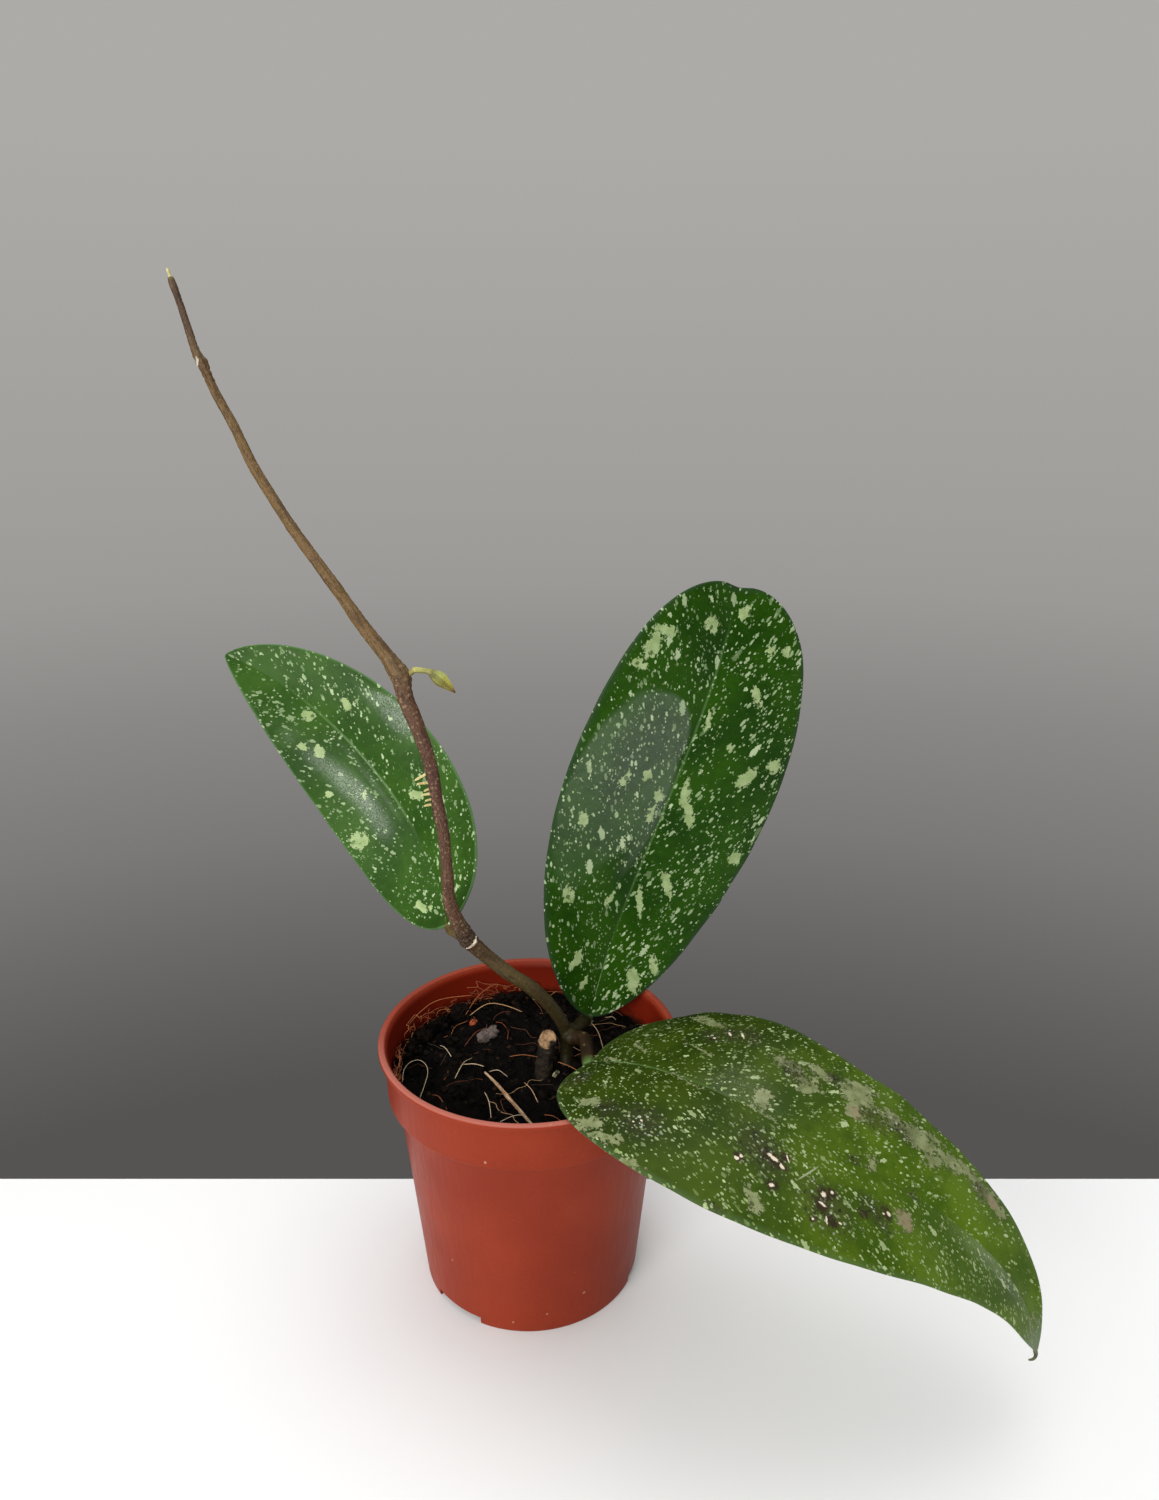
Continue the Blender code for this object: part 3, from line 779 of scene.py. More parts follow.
def blade_place(leaf, s, x, share, side, width):
    """A point of the skin: side is 1 above and -1 below."""
    place, across, out = blade_frame(leaf, s)
    near_tip = max(0.0, (s - DENT_START) / (1.0 - DENT_START))
    dent = leaf["dent"] * near_tip * math.exp(-((x / DENT_WIDTH) ** 2))
    bow = leaf["fold"] * abs(x) + leaf["cup"] * x * x / CUP_SCALE
    thick = LEAF_THICK - THIN_MARGIN * (x / width) ** 2
    level = waves(leaf, x, s, width) - 0.5 * thick + 0.5 * thick * share * side
    if side > 0:
        level -= crease(x, s)
    return place - out.cross(across) * dent + across * x + out * (bow + level)


print("relief at 10 mm from the midrib:", round(waves(UPRIGHT_LEAF, 10.0, 0.5, 30.0), 2), "mm")

# %% [markdown]
# Rows that are evenly spaced along the margin, instead of along the midrib, keep the blunt base and
# the round tip smooth. While the rings are made, each point also keeps where it is on the leaf:
# millimetres across and along, how far the margin is, and whether it is on the upper side.

# %% Leaf blades
EDGE_SAMPLES = 500
TIP_REACH = 0.08


def row_places(leaf, rows):
    """The s of each row, so that the rows are evenly spaced around the outline."""
    start, stop = leaf["ends"]
    turns = [math.pi * k / EDGE_SAMPLES for k in range(EDGE_SAMPLES + 1)]
    samples = [start + (stop - start) * 0.5 * (1.0 - math.cos(turn)) for turn in turns]
    edge = []
    for s in samples:
        place, across, _ = blade_frame(leaf, s)
        edge.append(place + across * leaf["half_widths"][1] * half_width(s, leaf["powers"]))
    lengths = lengths_along(edge)
    places = []
    index = 0
    for row in range(rows + 1):
        goal = lengths[-1] * row / rows
        while lengths[index] < goal - 1e-9:
            index += 1
        if index == 0:
            places.append(samples[0])
            continue
        part = (goal - lengths[index - 1]) / max(lengths[index] - lengths[index - 1], 1e-9)
        places.append(samples[index - 1] + (samples[index] - samples[index - 1]) * min(1.0, part))
    return places


def ring_plan(leaf, s):
    """The ring's points as x, share and side: over the top from left to right, then back below."""
    near_tip = math.exp(-(((1.0 - s) / TIP_REACH) ** 2))
    left, right = (
        width * half_width(s, leaf["powers"]) * (1.0 + more * near_tip)
        for width, more in zip(leaf["half_widths"], leaf.get("blunt", (0.0, 0.0)))
    )
    plan = [(-x, share, 1, left) for x, share in reversed(half_section(left))]
    plan += [(x, share, 1, right) for x, share in half_section(right)[1:]]
    plan += [(x, share, -1, right) for x, share in reversed(half_section(right)[:-1])]
    plan += [(-x, share, -1, left) for x, share in half_section(left)[1:-1]]
    return plan


def end_share(leaf, s):
    """Thins the blade to a round edge over the last millimetre at its base and its tip."""
    near = min(s, 1.0 - s) * leaf["length"]
    return math.sqrt(1.0 - (1.0 - min(1.0, near / EDGE_ROUND)) ** 2)


def blade(leaf, name):
    """The rings of one leaf, lofted, with their measures kept on the points."""
    bm = bmesh.new()
    layers = {key: bm.verts.layers.float.new(key) for key in ("across", "along", "margin", "upper")}
    rings = []
    for s in row_places(leaf, LEAF_ROWS):
        ends = end_share(leaf, s)
        near_end = min(s, 1.0 - s) * leaf["length"]
        ring = []
        for x, share, side, width in ring_plan(leaf, s):
            vertex = bm.verts.new(blade_place(leaf, s, x, share * ends, side, width))
            vertex[layers["across"]] = x
            vertex[layers["along"]] = walked(leaf, s)
            vertex[layers["margin"]] = min(width - abs(x), near_end)
            vertex[layers["upper"]] = 0.5 + 0.5 * side * share
            ring.append(vertex)
        rings.append(ring)
    loft(bm, rings)
    return to_mesh(bm, name)


print("rings of", len(ring_plan(LEFT_LEAF, 0.5)), "points")

# %% [markdown]
# ### What colours a splashed leaf
# The silver-green splashes are places where the skin has lifted from the green below. They come in
# three sizes: a dust of tiny flecks, short dashes that run with the veins, and a few torn patches.
# The first two are `Specks` with different numbers. The patches are placed one by one with `Spot`,
# which draws one oval; its edge is torn because the coordinates that it reads are bent by noise.

# %% Spot
spot, ins, outs = group(
    "Spot",
    [
        ("Place", "Vector", None), ("Centre", "Vector", (0.0, 0.0, 0.0)),
        ("Reach", "Vector", (2.0, 3.0, 100.0)), ("Turn", "Float", 0.0), ("Softness", "Float", 0.12),
        ("Ragged", "Float", 0.0), ("Before", "Float", 0.0),
    ],
    [("Mask", "Float")],
)
offset = on_place(spot, "SUBTRACT", ins["Place"], ins["Centre"])
unit = on_place(spot, "DIVIDE", turn_place(spot, offset, ins["Turn"]), ins["Reach"])
far = wire(spot, "VectorMath", output="Value", inputs={0: unit}, operation="LENGTH")
inner_edge = calculate(spot, "SUBTRACT", 1.0, ins["Softness"])
outer_edge = plus(spot, 1.0, ins["Softness"])
oval = step_up(spot, plus(spot, far, ins["Ragged"]), outer_edge, inner_edge)
spot.links.new(calculate(spot, "MAXIMUM", ins["Before"], oval), outs["Mask"])
print("shared group:", spot.name)

# %% [markdown]
# `Leaf Place` turns the stored numbers into one flat coordinate on the leaf, in millimetres. It
# also hands out a bent copy, which gives the splashes their torn edges, and a copy that is folded
# at the midrib and turned, so that a dash drawn in it runs outwards like the side veins.

# %% Leaf Place
VEIN_TURN = math.radians(26.0)
TEAR_PULL = 7.0
SIDES_APART = 40.0
leaf_place, ins, outs = group(
    "Leaf Place", [("Seed", "Float", 0.0), ("Tear", "Float", 1.0)],
    [
        ("Flat", "Vector"), ("Torn", "Vector"), ("Veined", "Vector"), ("Upper", "Float"),
        ("Margin", "Float"),
    ],
)
across = measured(leaf_place, "across")
along = measured(leaf_place, "along")
flat = wire(leaf_place, "CombineXYZ", inputs={0: across, 1: along, 2: ins["Seed"]})
coarse = wire(
    leaf_place, "TexNoise", output="Color",
    inputs={"Vector": flat, "Scale": 0.6, "Detail": 5.0, "Roughness": 0.65},
)
centred = on_place(leaf_place, "SUBTRACT", coarse, (0.5, 0.5, 0.5))
pull = on_place(leaf_place, "SCALE", centred, times(leaf_place, ins["Tear"], TEAR_PULL))
half = calculate(leaf_place, "ABSOLUTE", across)
side = calculate(leaf_place, "SIGN", across)
apart = calculate(leaf_place, "MULTIPLY_ADD", side, SIDES_APART, ins["Seed"])
folded = wire(leaf_place, "CombineXYZ", inputs={0: half, 1: along, 2: apart})
leaf_place.links.new(flat, outs["Flat"])
leaf_place.links.new(turn_place(leaf_place, folded, VEIN_TURN), outs["Veined"])
leaf_place.links.new(on_place(leaf_place, "ADD", flat, pull), outs["Torn"])
leaf_place.links.new(step_up(leaf_place, measured(leaf_place, "upper"), 0.3, 0.6), outs["Upper"])
leaf_place.links.new(measured(leaf_place, "margin"), outs["Margin"])
print("shared group:", leaf_place.name)

# %% [markdown]
# The patches and flecks of a leaf are laid on in layers, with the numbers that differ from leaf to
# leaf in one `look`. First come green clouds with painted shade towards the base, a paler crease
# that is partly a painted highlight and a greyer margin, then the fine flecks and dashes, thinned
# out in places by a slow noise, and then the torn patches.

# %% Leaf layers
PATCH_EDGE = 0.3
PATCH_HOLES = (1.7, 0.3, 0.8)


def patches_mask(tree, place, patches, softness=0.12, ragged=0.0):
    """Chains one Spot for each patch of x, y, half width, half length and turn in degrees."""
    mask = 0.0
    for x, y, wide, long, turn in patches:
        mask = use(
            tree, spot, Place=place, Centre=(x, y, 0.0), Reach=(wide, long, 1000.0),
            Turn=math.radians(turn), Softness=softness, Ragged=ragged, Before=mask,
        )["Mask"]
    return mask


def torn_edge(tree, height, depth):
    """Turns a noise from 0 to 1 into an offset that bends an oval's edge in and out."""
    return times(tree, calculate(tree, "SUBTRACT", height, 0.5), depth)


def green_tone(tree, look, spots, x, along):
    """Green clouds darkened towards the base by painted shade, with a paler crease that is partly a
    painted highlight, and a margin of its own tone.
    """
    green = mottled(tree, spots["Flat"], look["deep"], look["fresh"], 0.06, 0.5, 0.3)
    start, full, fade, stop = look["crease_span"]
    shown = times(tree, step_up(tree, along, start, full), step_up(tree, along, stop, fade))
    # The pale midrib line is partly the rib's own paler tone and partly a painted highlight along the
    # crease, shown over only part of its length.
    midrib_tone_and_highlight = times(tree, step_up(tree, x, 0.7, 0.1), shown)
    # Painted shade: the green darkens towards the leaf's base over the span that light_end gives, down to
    # the share that dark gives.
    base_shade = step_up(tree, along, *look["light_end"], look["dark"], 1.0)
    shaded = blend(tree, base_shade, (0.0, 0.0, 0.0), green[0])
    creased = lay(tree, shaded, midrib_tone_and_highlight, look["crease"], look["vein"])
    rim = step_up(tree, spots["Margin"], look["rim_width"], 0.0)
    return lay(tree, creased, rim, look["rim"], look["rim_tone"])


def splashes(tree, look, spots):
    """Flecks and small islands: their mask, their tone, and an offset that tears patch edges."""
    cover = step_up(tree, grain(tree, spots["Flat"], 0.07, 2.0), 0.34, 0.62, look["sparse"], 1.0)
    mask = 0.0
    for size, stretch, amount, edge in look["flecks"]:
        fleck, tone = use(
            tree, specks, Place=spots["Veined"], Size=size, Stretch=stretch,
            Amount=times(tree, cover, amount), Edge=edge,
        )
        faint = step_up(tree, tone, 0.0, 1.0, look["faint"], 1.0)
        mask = calculate(tree, "MAXIMUM", mask, times(tree, fleck, faint))
    islands = grain(tree, stretch_place(tree, spots["Flat"], 1.0, 0.65, 1.0), 0.85, 5.0, 0.72)
    island_edge = plus(tree, islands, times(tree, cover, 0.05))
    island = step_up(tree, island_edge, look["islands"], look["islands"] + 0.02)
    mask = calculate(tree, "MAXIMUM", mask, times(tree, island, 0.85))
    pale = blend(tree, tone, look["silver"], look["cream"])
    return mask, pale, torn_edge(tree, islands, -look["ragged"])


def torn_patches(tree, look, spots, colour, ragged):
    """Lays the listed patches over a colour; returns the new colour and the patches' mask."""
    field = patches_mask(tree, spots["Torn"], look["patches"], softness=PATCH_EDGE, ragged=ragged)
    colour = lay(tree, colour, step_up(tree, field, 0.05, 0.45), look["border"], look["border_tone"])
    holes = speckle(tree, spots["Flat"], *PATCH_HOLES)
    solid = step_up(tree, holes, 0.0, 1.0, look["solid"], 0.25)
    patch = times(tree, step_up(tree, field, 0.46, 0.62), solid)
    tone = mottled(tree, spots["Flat"], look["patch_low"], look["patch_high"], 0.35, 2.0)
    return blend(tree, patch, colour, tone[0]), patch


print("leaf layers ready")

# %% [markdown]
# The underside is paler, with faint side veins. Where the wax is thick, a clear coat lies over the
# colour, worn away in tiny spots. The whole finish then stacks the layers, with the marks of age
# last, and splashes are a bit rougher than the green.

# %% Leaf finish
VEIN_GAP = 4.5
VEIN_SLOPE = -0.8
BLADE_RELIEF = 0.11
SPLASH_DULL = 0.14
UNDER_DULL = 0.55


def underside(tree, look, flat, x, along, splash):
    """Paler green with faint side veins, where the splashes show through a little."""
    under = mottled(tree, flat, look["under"], look["under_deep"], 0.08, 0.7)
    wavy = calculate(tree, "MULTIPLY_ADD", grain(tree, flat, 0.12, 2.0), 9.0, along)
    slanted = calculate(tree, "MULTIPLY_ADD", x, VEIN_SLOPE, wavy)
    branch = calculate(tree, "PINGPONG", slanted, VEIN_GAP)
    inward = step_up(tree, x, 30.0, 2.0, 0.0, 0.45)
    veiny = lay(tree, under[0], step_up(tree, branch, 0.7, 0.05), inward, look["vein"])
    return lay(tree, veiny, splash, 0.35, look["silver"])


def wax_coat(tree, shader, look, flat, along, pores):
    """A clear coat on the waxed ovals, thinner in the pores and where it fades along the leaf."""
    waxed = patches_mask(tree, flat, look["waxed"], softness=look["wax_edge"])
    clear = step_up(tree, pores, 0.4, 0.6, look["wax_mottle"], 1.0)
    thick = times(tree, waxed, times(tree, clear, look["wax"]))
    faded = step_up(tree, along, *look["wax_fade"], 0.25, 1.0)
    tree.links.new(times(tree, thick, faded), shader["Coat Weight"])
    shader["Coat Roughness"].default_value = look["wax_roughness"]
    shader["Coat IOR"].default_value = look["wax_ior"]


def leaf_finish(name, look):
    """A splashed leaf's material from its look: greens, fleck sizes and listed patches."""
    tree, shader, made = finish(name, look["roughness"], look["specular"])
    spots = use(tree, leaf_place, Seed=look["seed"], Tear=look["tear"])
    flat = spots["Flat"]
    x = calculate(tree, "ABSOLUTE", measured(tree, "across"))
    along = measured(tree, "along")
    splash, splash_tone, ragged = splashes(tree, look, spots)
    colour = blend(tree, splash, green_tone(tree, look, spots, x, along), splash_tone)
    colour, patch = torn_patches(tree, look, spots, colour, ragged)
    colour = look["age"](tree, flat, spots["Torn"], colour) if "age" in look else colour
    under_tone = underside(tree, look, flat, x, along, splash)
    pale = calculate(tree, "MAXIMUM", splash, patch)
    gloss = step_up(tree, pale, 0.0, 1.0, look["roughness"], look["roughness"] + SPLASH_DULL)
    dull = step_up(tree, spots["Upper"], 0.0, 1.0, UNDER_DULL, 0.0)
    tree.links.new(calculate(tree, "MAXIMUM", gloss, dull), shader["Roughness"])
    pores = grain(tree, flat, 2.2, 3.0, 0.6)
    wax_coat(tree, shader, look, flat, along, pores)
    skin = plus(tree, times(tree, pores, 0.5), times(tree, pale, 0.6))
    dress(tree, shader, blend(tree, spots["Upper"], under_tone, colour), skin, BLADE_RELIEF, 0.5)
    return made


def leaf_piece(name, leaf, look):
    """The blade of one leaf in its own green."""
    green = leaf_finish(name + "_green", look)
    place_piece(name + "_blade", blade(leaf, name), green, [name])


print("leaf finish ready")

# %% [markdown]
# The left leaf has crisp flecks, a pale thin margin and one round patch low on its outer half. The
# wax shines in a narrow band beside the midrib. Patches are x across, y along, half width, half
# length, and turn.

# %% Left leaf
LEFT_LOOK = {
    "seed": 4.0, "tear": 0.35, "roughness": 0.45, "specular": 0.12,
    "waxed": (
        (-9.3, 57.0, 3.3, 19.0, -4.0), (17.5, 65.0, 4.0, 11.0, 0.0), (-1.4, 58.0, 1.6, 15.0, 0.0),
        (0.5, 30.0, 1.5, 12.0, 0.0), (-10.5, 88.0, 4.0, 6.0, 0.0),
    ),
    "wax": 0.42, "wax_edge": 0.7, "wax_fade": (-2.0, -1.0), "wax_mottle": 0.25, "wax_roughness": 0.2,
    "wax_ior": 1.5, "deep": (0.02, 0.066, 0.005), "fresh": (0.04, 0.112, 0.01), "vein": (0.16, 0.3, 0.1),
    # light_end and dark set the painted shade towards the base; crease and crease_span set the pale
    # midrib line, partly a painted highlight.
    "crease": 0.35, "crease_span": (30.0, 42.0, 70.0, 100.0), "light_end": (0.0, 30.0), "dark": 0.85,
    "rim": 0.6, "rim_width": 0.9, "rim_tone": (0.13, 0.26, 0.1),
    "flecks": ((0.75, 1.6, 0.5, 0.5), (1.2, 2.1, 0.3, 0.9), (2.6, 1.8, 0.07, 2.0)), "islands": 0.71,
    "ragged": 1.6, "sparse": 0.3, "faint": 0.4, "solid": 1.0, "silver": (0.27, 0.4, 0.18),
    "cream": (0.5, 0.62, 0.36), "patch_low": (0.28, 0.39, 0.15), "patch_high": (0.42, 0.53, 0.26),
    "border": 0.5, "border_tone": (0.012, 0.05, 0.004),
    "patches": (
        (-16.8, 40.8, 3.3, 3.0, 10.0), (8.0, 76.6, 1.2, 2.2, 20.0), (-2.6, 83.3, 1.6, 2.2, -30.0),
        (-8.6, 72.8, 1.8, 2.4, 10.0), (-11.1, 78.0, 1.2, 1.8, 0.0), (7.0, 41.8, 2.3, 1.7, 40.0),
        (-6.7, 9.7, 1.2, 3.0, -25.0), (-4.0, 8.2, 0.8, 1.4, 30.0), (13.4, 37.0, 1.2, 3.0, 10.0),
        (-7.0, 52.0, 0.8, 1.6, 30.0), (-15.5, 60.0, 1.0, 1.5, -20.0),
    ),
    "under": (0.13, 0.25, 0.07), "under_deep": (0.085, 0.18, 0.045),
}
leaf_piece("leaf_left", LEFT_LEAF, LEFT_LOOK)

# %% [markdown]
# The upright leaf has the largest splashes: dashes that run with the veins and torn patches near
# the top left, beside the midrib and at the right margin. Its left half is waxed and mirrors the
# table, while the right half is dull and deep green.

# %% Upright leaf
UPRIGHT_LOOK = dict(
    LEFT_LOOK, seed=12.0, specular=0.1,
    waxed=((-17.5, 71.0, 17.0, 35.0, 0.0), (-14.0, 92.0, 12.4, 14.5, 0.0)), wax=1.0, wax_edge=0.07,
    wax_fade=(25.0, 95.0), wax_mottle=0.55, wax_roughness=0.16, wax_ior=1.72, deep=(0.01, 0.046, 0.001),
    # crease_span sets the pale midrib line, partly a painted highlight; light_end sets the painted shade
    # towards the base.
    fresh=(0.023, 0.082, 0.002), tear=0.6, ragged=2.4, crease_span=(12.0, 60.0, 118.0, 136.0),
    light_end=(0.0, 20.0), rim=0.6, rim_width=2.4, rim_tone=(0.03, 0.06, 0.028),
    flecks=((0.75, 1.6, 0.5, 0.5), (1.2, 2.3, 0.36, 0.9), (2.2, 2.6, 0.16, 1.8)), islands=0.7, sparse=0.4,
    patches=(
        (-24.2, 119.5, 2.2, 5.0, 8.0), (-21.5, 124.6, 4.2, 1.5, 10.0), (-26.4, 112.8, 2.8, 1.6, 20.0),
        (-6.7, 129.5, 2.6, 2.6, 0.0), (3.5, 135.0, 1.6, 2.4, 20.0), (14.9, 125.7, 1.6, 1.4, 0.0),
        (20.5, 126.4, 1.5, 1.3, 30.0), (22.0, 87.0, 4.0, 2.0, -55.0), (30.0, 92.5, 2.6, 2.4, 0.0),
        (29.3, 61.5, 2.4, 2.2, 0.0), (4.4, 77.3, 1.7, 4.4, -12.0), (8.2, 71.0, 1.3, 4.2, -28.0),
        (-17.6, 77.3, 1.1, 3.0, 10.0), (-10.8, 80.3, 1.2, 2.0, 0.0), (-3.9, 74.3, 2.2, 1.8, 30.0),
        (-4.1, 68.0, 1.3, 3.0, -10.0), (-25.4, 61.7, 2.0, 1.6, 60.0), (10.6, 47.5, 1.6, 4.4, -35.0),
        (4.2, 39.5, 1.0, 5.6, -20.0), (-20.8, 37.1, 2.7, 2.0, 40.0), (-6.2, 38.2, 1.0, 3.4, 10.0),
        (16.1, 20.6, 1.4, 3.6, -30.0), (10.7, 14.4, 2.2, 4.4, -28.0), (-10.4, 17.2, 1.4, 3.6, 14.0),
        (-5.6, 10.0, 1.1, 2.4, 20.0), (15.3, 112.0, 1.2, 3.6, -35.0), (12.9, 94.3, 1.0, 1.8, -20.0),
        (2.8, 101.0, 0.9, 3.4, -8.0),
    ),
)
leaf_piece("leaf_upright", UPRIGHT_LEAF, UPRIGHT_LOOK)

# %% [markdown]
# The drooping leaf is the oldest. Its green is lighter and yellower, a dust of fine flecks covers
# it all, a torn pale band runs along its far margin, and it carries marks of age: soft dark
# stains, and a few small sores with a brown ring and a dried white middle.

# %% Marks of age
STAINS = (
    (-18.7, 33.9, 2.6, 3.4, 10.0), (-22.6, 39.2, 3.2, 4.0, 10.0), (-24.1, 45.5, 2.6, 4.5, 20.0),
    (20.9, 34.5, 4.4, 5.0, 0.0), (20.7, 25.3, 2.6, 3.0, 0.0), (11.5, 7.6, 3.4, 3.4, 0.0),
    (-17.5, 62.7, 2.8, 4.4, 30.0), (-21.9, 75.4, 1.8, 2.6, 0.0), (-14.4, 88.9, 2.8, 4.6, 20.0),
    (-15.7, 96.6, 2.4, 4.4, 10.0), (0.0, 85.4, 1.3, 2.0, 0.0), (0.4, 103.7, 1.3, 1.8, 0.0),
    (32.3, 57.2, 1.2, 1.6, 0.0), (-14.0, 123.5, 2.0, 2.6, 0.0), (12.0, 62.0, 4.6, 7.0, 35.0),
    (18.0, 80.0, 5.0, 6.5, 20.0), (12.5, 93.0, 2.4, 5.0, 30.0),
)
SORES = (
    (17.2, 57.6, 1.1, 1.7, 40.0), (12.9, 65.4, 1.7, 3.4, 10.0), (10.6, 67.6, 1.3, 1.6, 30.0),
    (19.9, 66.4, 1.5, 1.5, 0.0), (15.1, 78.9, 1.8, 2.0, 20.0), (13.6, 80.6, 1.3, 1.4, 0.0),
    (18.1, 78.8, 1.5, 2.1, 40.0), (22.8, 77.4, 0.9, 0.9, 0.0), (21.0, 82.0, 1.3, 1.8, 30.0),
    (14.4, 89.6, 1.2, 1.6, 0.0), (10.6, 96.2, 1.4, 2.2, 60.0),
)
SCABS = (
    (17.8, 57.2, 0.42, 0.5, 0.0), (16.7, 57.9, 0.4, 0.45, 0.0), (12.5, 64.8, 0.55, 1.5, 12.0),
    (13.6, 67.4, 0.4, 0.8, 50.0), (10.4, 68.2, 0.24, 1.1, 60.0), (19.9, 66.4, 0.5, 0.52, 0.0),
    (15.1, 78.7, 0.6, 0.66, 0.0), (13.4, 80.7, 0.42, 0.45, 0.0), (17.8, 78.9, 0.38, 0.95, 10.0),
    (22.8, 77.4, 0.32, 0.35, 0.0), (21.3, 80.7, 0.25, 0.9, 70.0), (20.3, 84.1, 0.32, 0.4, 0.0),
    (10.4, 96.6, 0.5, 0.7, 30.0), (11.1, 95.2, 0.3, 0.35, 0.0), (-22.2, 38.6, 0.35, 1.1, 40.0),
    (-23.2, 43.0, 0.35, 1.2, 40.0), (-18.3, 35.2, 0.35, 0.5, 0.0), (20.6, 34.9, 0.3, 0.3, 0.0),
    (21.8, 33.4, 0.25, 0.3, 0.0),
)
DRIED = ((9.5, 101.8, 1.9, 3.0, 30.0), (-14.0, 83.4, 1.8, 1.6, 0.0), (-13.2, 127.8, 1.6, 2.0, 0.0))
SCRATCHES = ((11.4, 74.0, 0.22, 3.9, -58.0), (3.9, 138.0, 0.22, 3.6, -5.0))


def old_age(tree, flat, torn, colour):
    """Lays stains, sores and their dried middles over the leaf's colour."""
    ragged = torn_edge(tree, grain(tree, flat, 1.3, 4.0, 0.7), 2.4)
    torn_a_little = wire(tree, "Mix", inputs={0: 0.12, 4: flat, 5: torn}, output=1, data_type="VECTOR")
    stain = patches_mask(tree, torn, STAINS, softness=0.7, ragged=ragged)
    colour = lay(tree, colour, stain, 0.55, (0.04, 0.036, 0.018))
    colour = lay(tree, colour, stain, speckle(tree, torn, 1.15, 0.75, 0.8), (0.012, 0.011, 0.009))
    colour = lay(tree, colour, stain, speckle(tree, flat, 0.95, 0.3, 0.6), (0.34, 0.4, 0.28))
    sores = patches_mask(tree, flat, SORES, softness=0.45, ragged=ragged)
    colour = lay(tree, colour, sores, 0.85, (0.03, 0.017, 0.011))
    scab = patches_mask(tree, torn_a_little, SCABS, softness=0.3, ragged=ragged)
    colour = blend(tree, scab, colour, (0.72, 0.62, 0.48))
    colour = blend(tree, patches_mask(tree, flat, SCRATCHES, softness=0.3), colour, (0.3, 0.33, 0.2))
    dried = patches_mask(tree, torn, DRIED, softness=0.3, ragged=ragged)
    colour = lay(tree, colour, dried, 0.7, (0.26, 0.2, 0.12))
    dry_tip = step_up(tree, axis(tree, flat, "Y"), 152.0, 162.0)
    return lay(tree, colour, dry_tip, 0.6, (0.2, 0.24, 0.17))


print(len(STAINS), "stains,", len(SORES), "sores")

# %% [markdown]
# Its look starts from the left leaf's numbers and changes what differs: yellower greens, a base
# strongly darkened by painted shade, smaller and denser flecks, and duller patches with a brown border.

# %% Drooping leaf
DROOPING_LOOK = dict(
    LEFT_LOOK, seed=31.0, tear=0.9, specular=0.1,
    waxed=((1.5, 134.0, 2.6, 16.0, -6.0), (-4.0, 50.0, 7.0, 12.0, 20.0), (-24.0, 97.0, 4.0, 20.0, 0.0)),
    wax=0.7, wax_edge=0.8, wax_mottle=0.1, wax_roughness=0.28, deep=(0.042, 0.088, 0.003),
    # crease and crease_span set the pale midrib line, partly a painted highlight; light_end and dark set
    # a strong painted shade over the base.
    fresh=(0.086, 0.15, 0.006), vein=(0.12, 0.22, 0.07), crease=0.3, crease_span=(2.0, 8.0, 30.0, 66.0),
    light_end=(25.0, 115.0), dark=0.42, rim=0.35, rim_width=2.0, rim_tone=(0.09, 0.15, 0.06),
    flecks=((0.68, 1.5, 0.5, 0.4), (0.95, 1.9, 0.38, 0.7), (1.6, 2.4, 0.1, 1.4)), islands=0.73,
    ragged=3.4, sparse=0.65, faint=0.3, solid=0.9, silver=(0.17, 0.24, 0.06), cream=(0.4, 0.48, 0.25),
    patch_low=(0.15, 0.18, 0.07), patch_high=(0.27, 0.3, 0.15), border=0.7,
    border_tone=(0.035, 0.04, 0.014),
    patches=(
        (-25.9, 27.8, 1.8, 7.0, 12.0), (-18.7, 60.5, 1.6, 4.6, 10.0), (-14.8, 68.3, 2.6, 3.4, -20.0),
        (-21.7, 71.0, 1.8, 4.6, 8.0), (-19.2, 83.4, 3.6, 5.2, 10.0), (-14.1, 82.7, 2.4, 2.6, 0.0),
        (-23.5, 84.0, 1.6, 5.0, 5.0), (-17.5, 94.5, 2.4, 3.6, 20.0), (-16.4, 103.0, 3.4, 5.0, 10.0),
        (-12.6, 107.2, 2.0, 2.8, -20.0), (-19.6, 106.5, 1.4, 4.0, 5.0), (-15.8, 113.5, 2.4, 4.4, 8.0),
        (-16.3, 119.4, 2.2, 3.6, 10.0), (-14.4, 124.7, 2.4, 3.2, 0.0), (-13.0, 129.0, 1.8, 3.4, 20.0),
        (-4.1, 57.2, 3.0, 2.6, 0.0), (20.2, 19.4, 1.6, 3.0, -20.0), (27.2, 24.2, 2.2, 3.8, -25.0),
        (29.4, 29.7, 1.6, 3.4, -15.0), (32.9, 38.0, 0.9, 3.0, -10.0), (9.5, 101.6, 2.4, 2.6, 40.0),
        (26.1, 63.9, 1.6, 3.0, 50.0), (-1.6, 90.5, 1.6, 1.4, 0.0), (-6.9, 16.0, 0.5, 4.4, 28.0),
        (-0.6, 11.0, 0.45, 6.0, 6.0), (1.1, 38.0, 0.4, 6.0, 10.0), (0.5, 60.5, 0.4, 3.6, 18.0),
        (-12.0, 33.0, 0.5, 5.0, 12.0), (2.0, 156.0, 0.5, 3.5, 20.0), (-1.5, 155.0, 0.4, 3.0, -25.0),
    ),
    under=(0.12, 0.22, 0.06), under_deep=(0.08, 0.15, 0.04), age=old_age,
)
leaf_piece("leaf_drooping", DROOPING_LEAF, DROOPING_LOOK)

# %% [markdown]
# ## Petioles and midribs
# The leaf's stalk runs on under the blade as a raised midrib that thins towards the tip. It is one
# swept line for each leaf: corky brown where it leaves the node, green under the blade. The start is
# sunk a little into the cushion on the node, so that no gap shows.

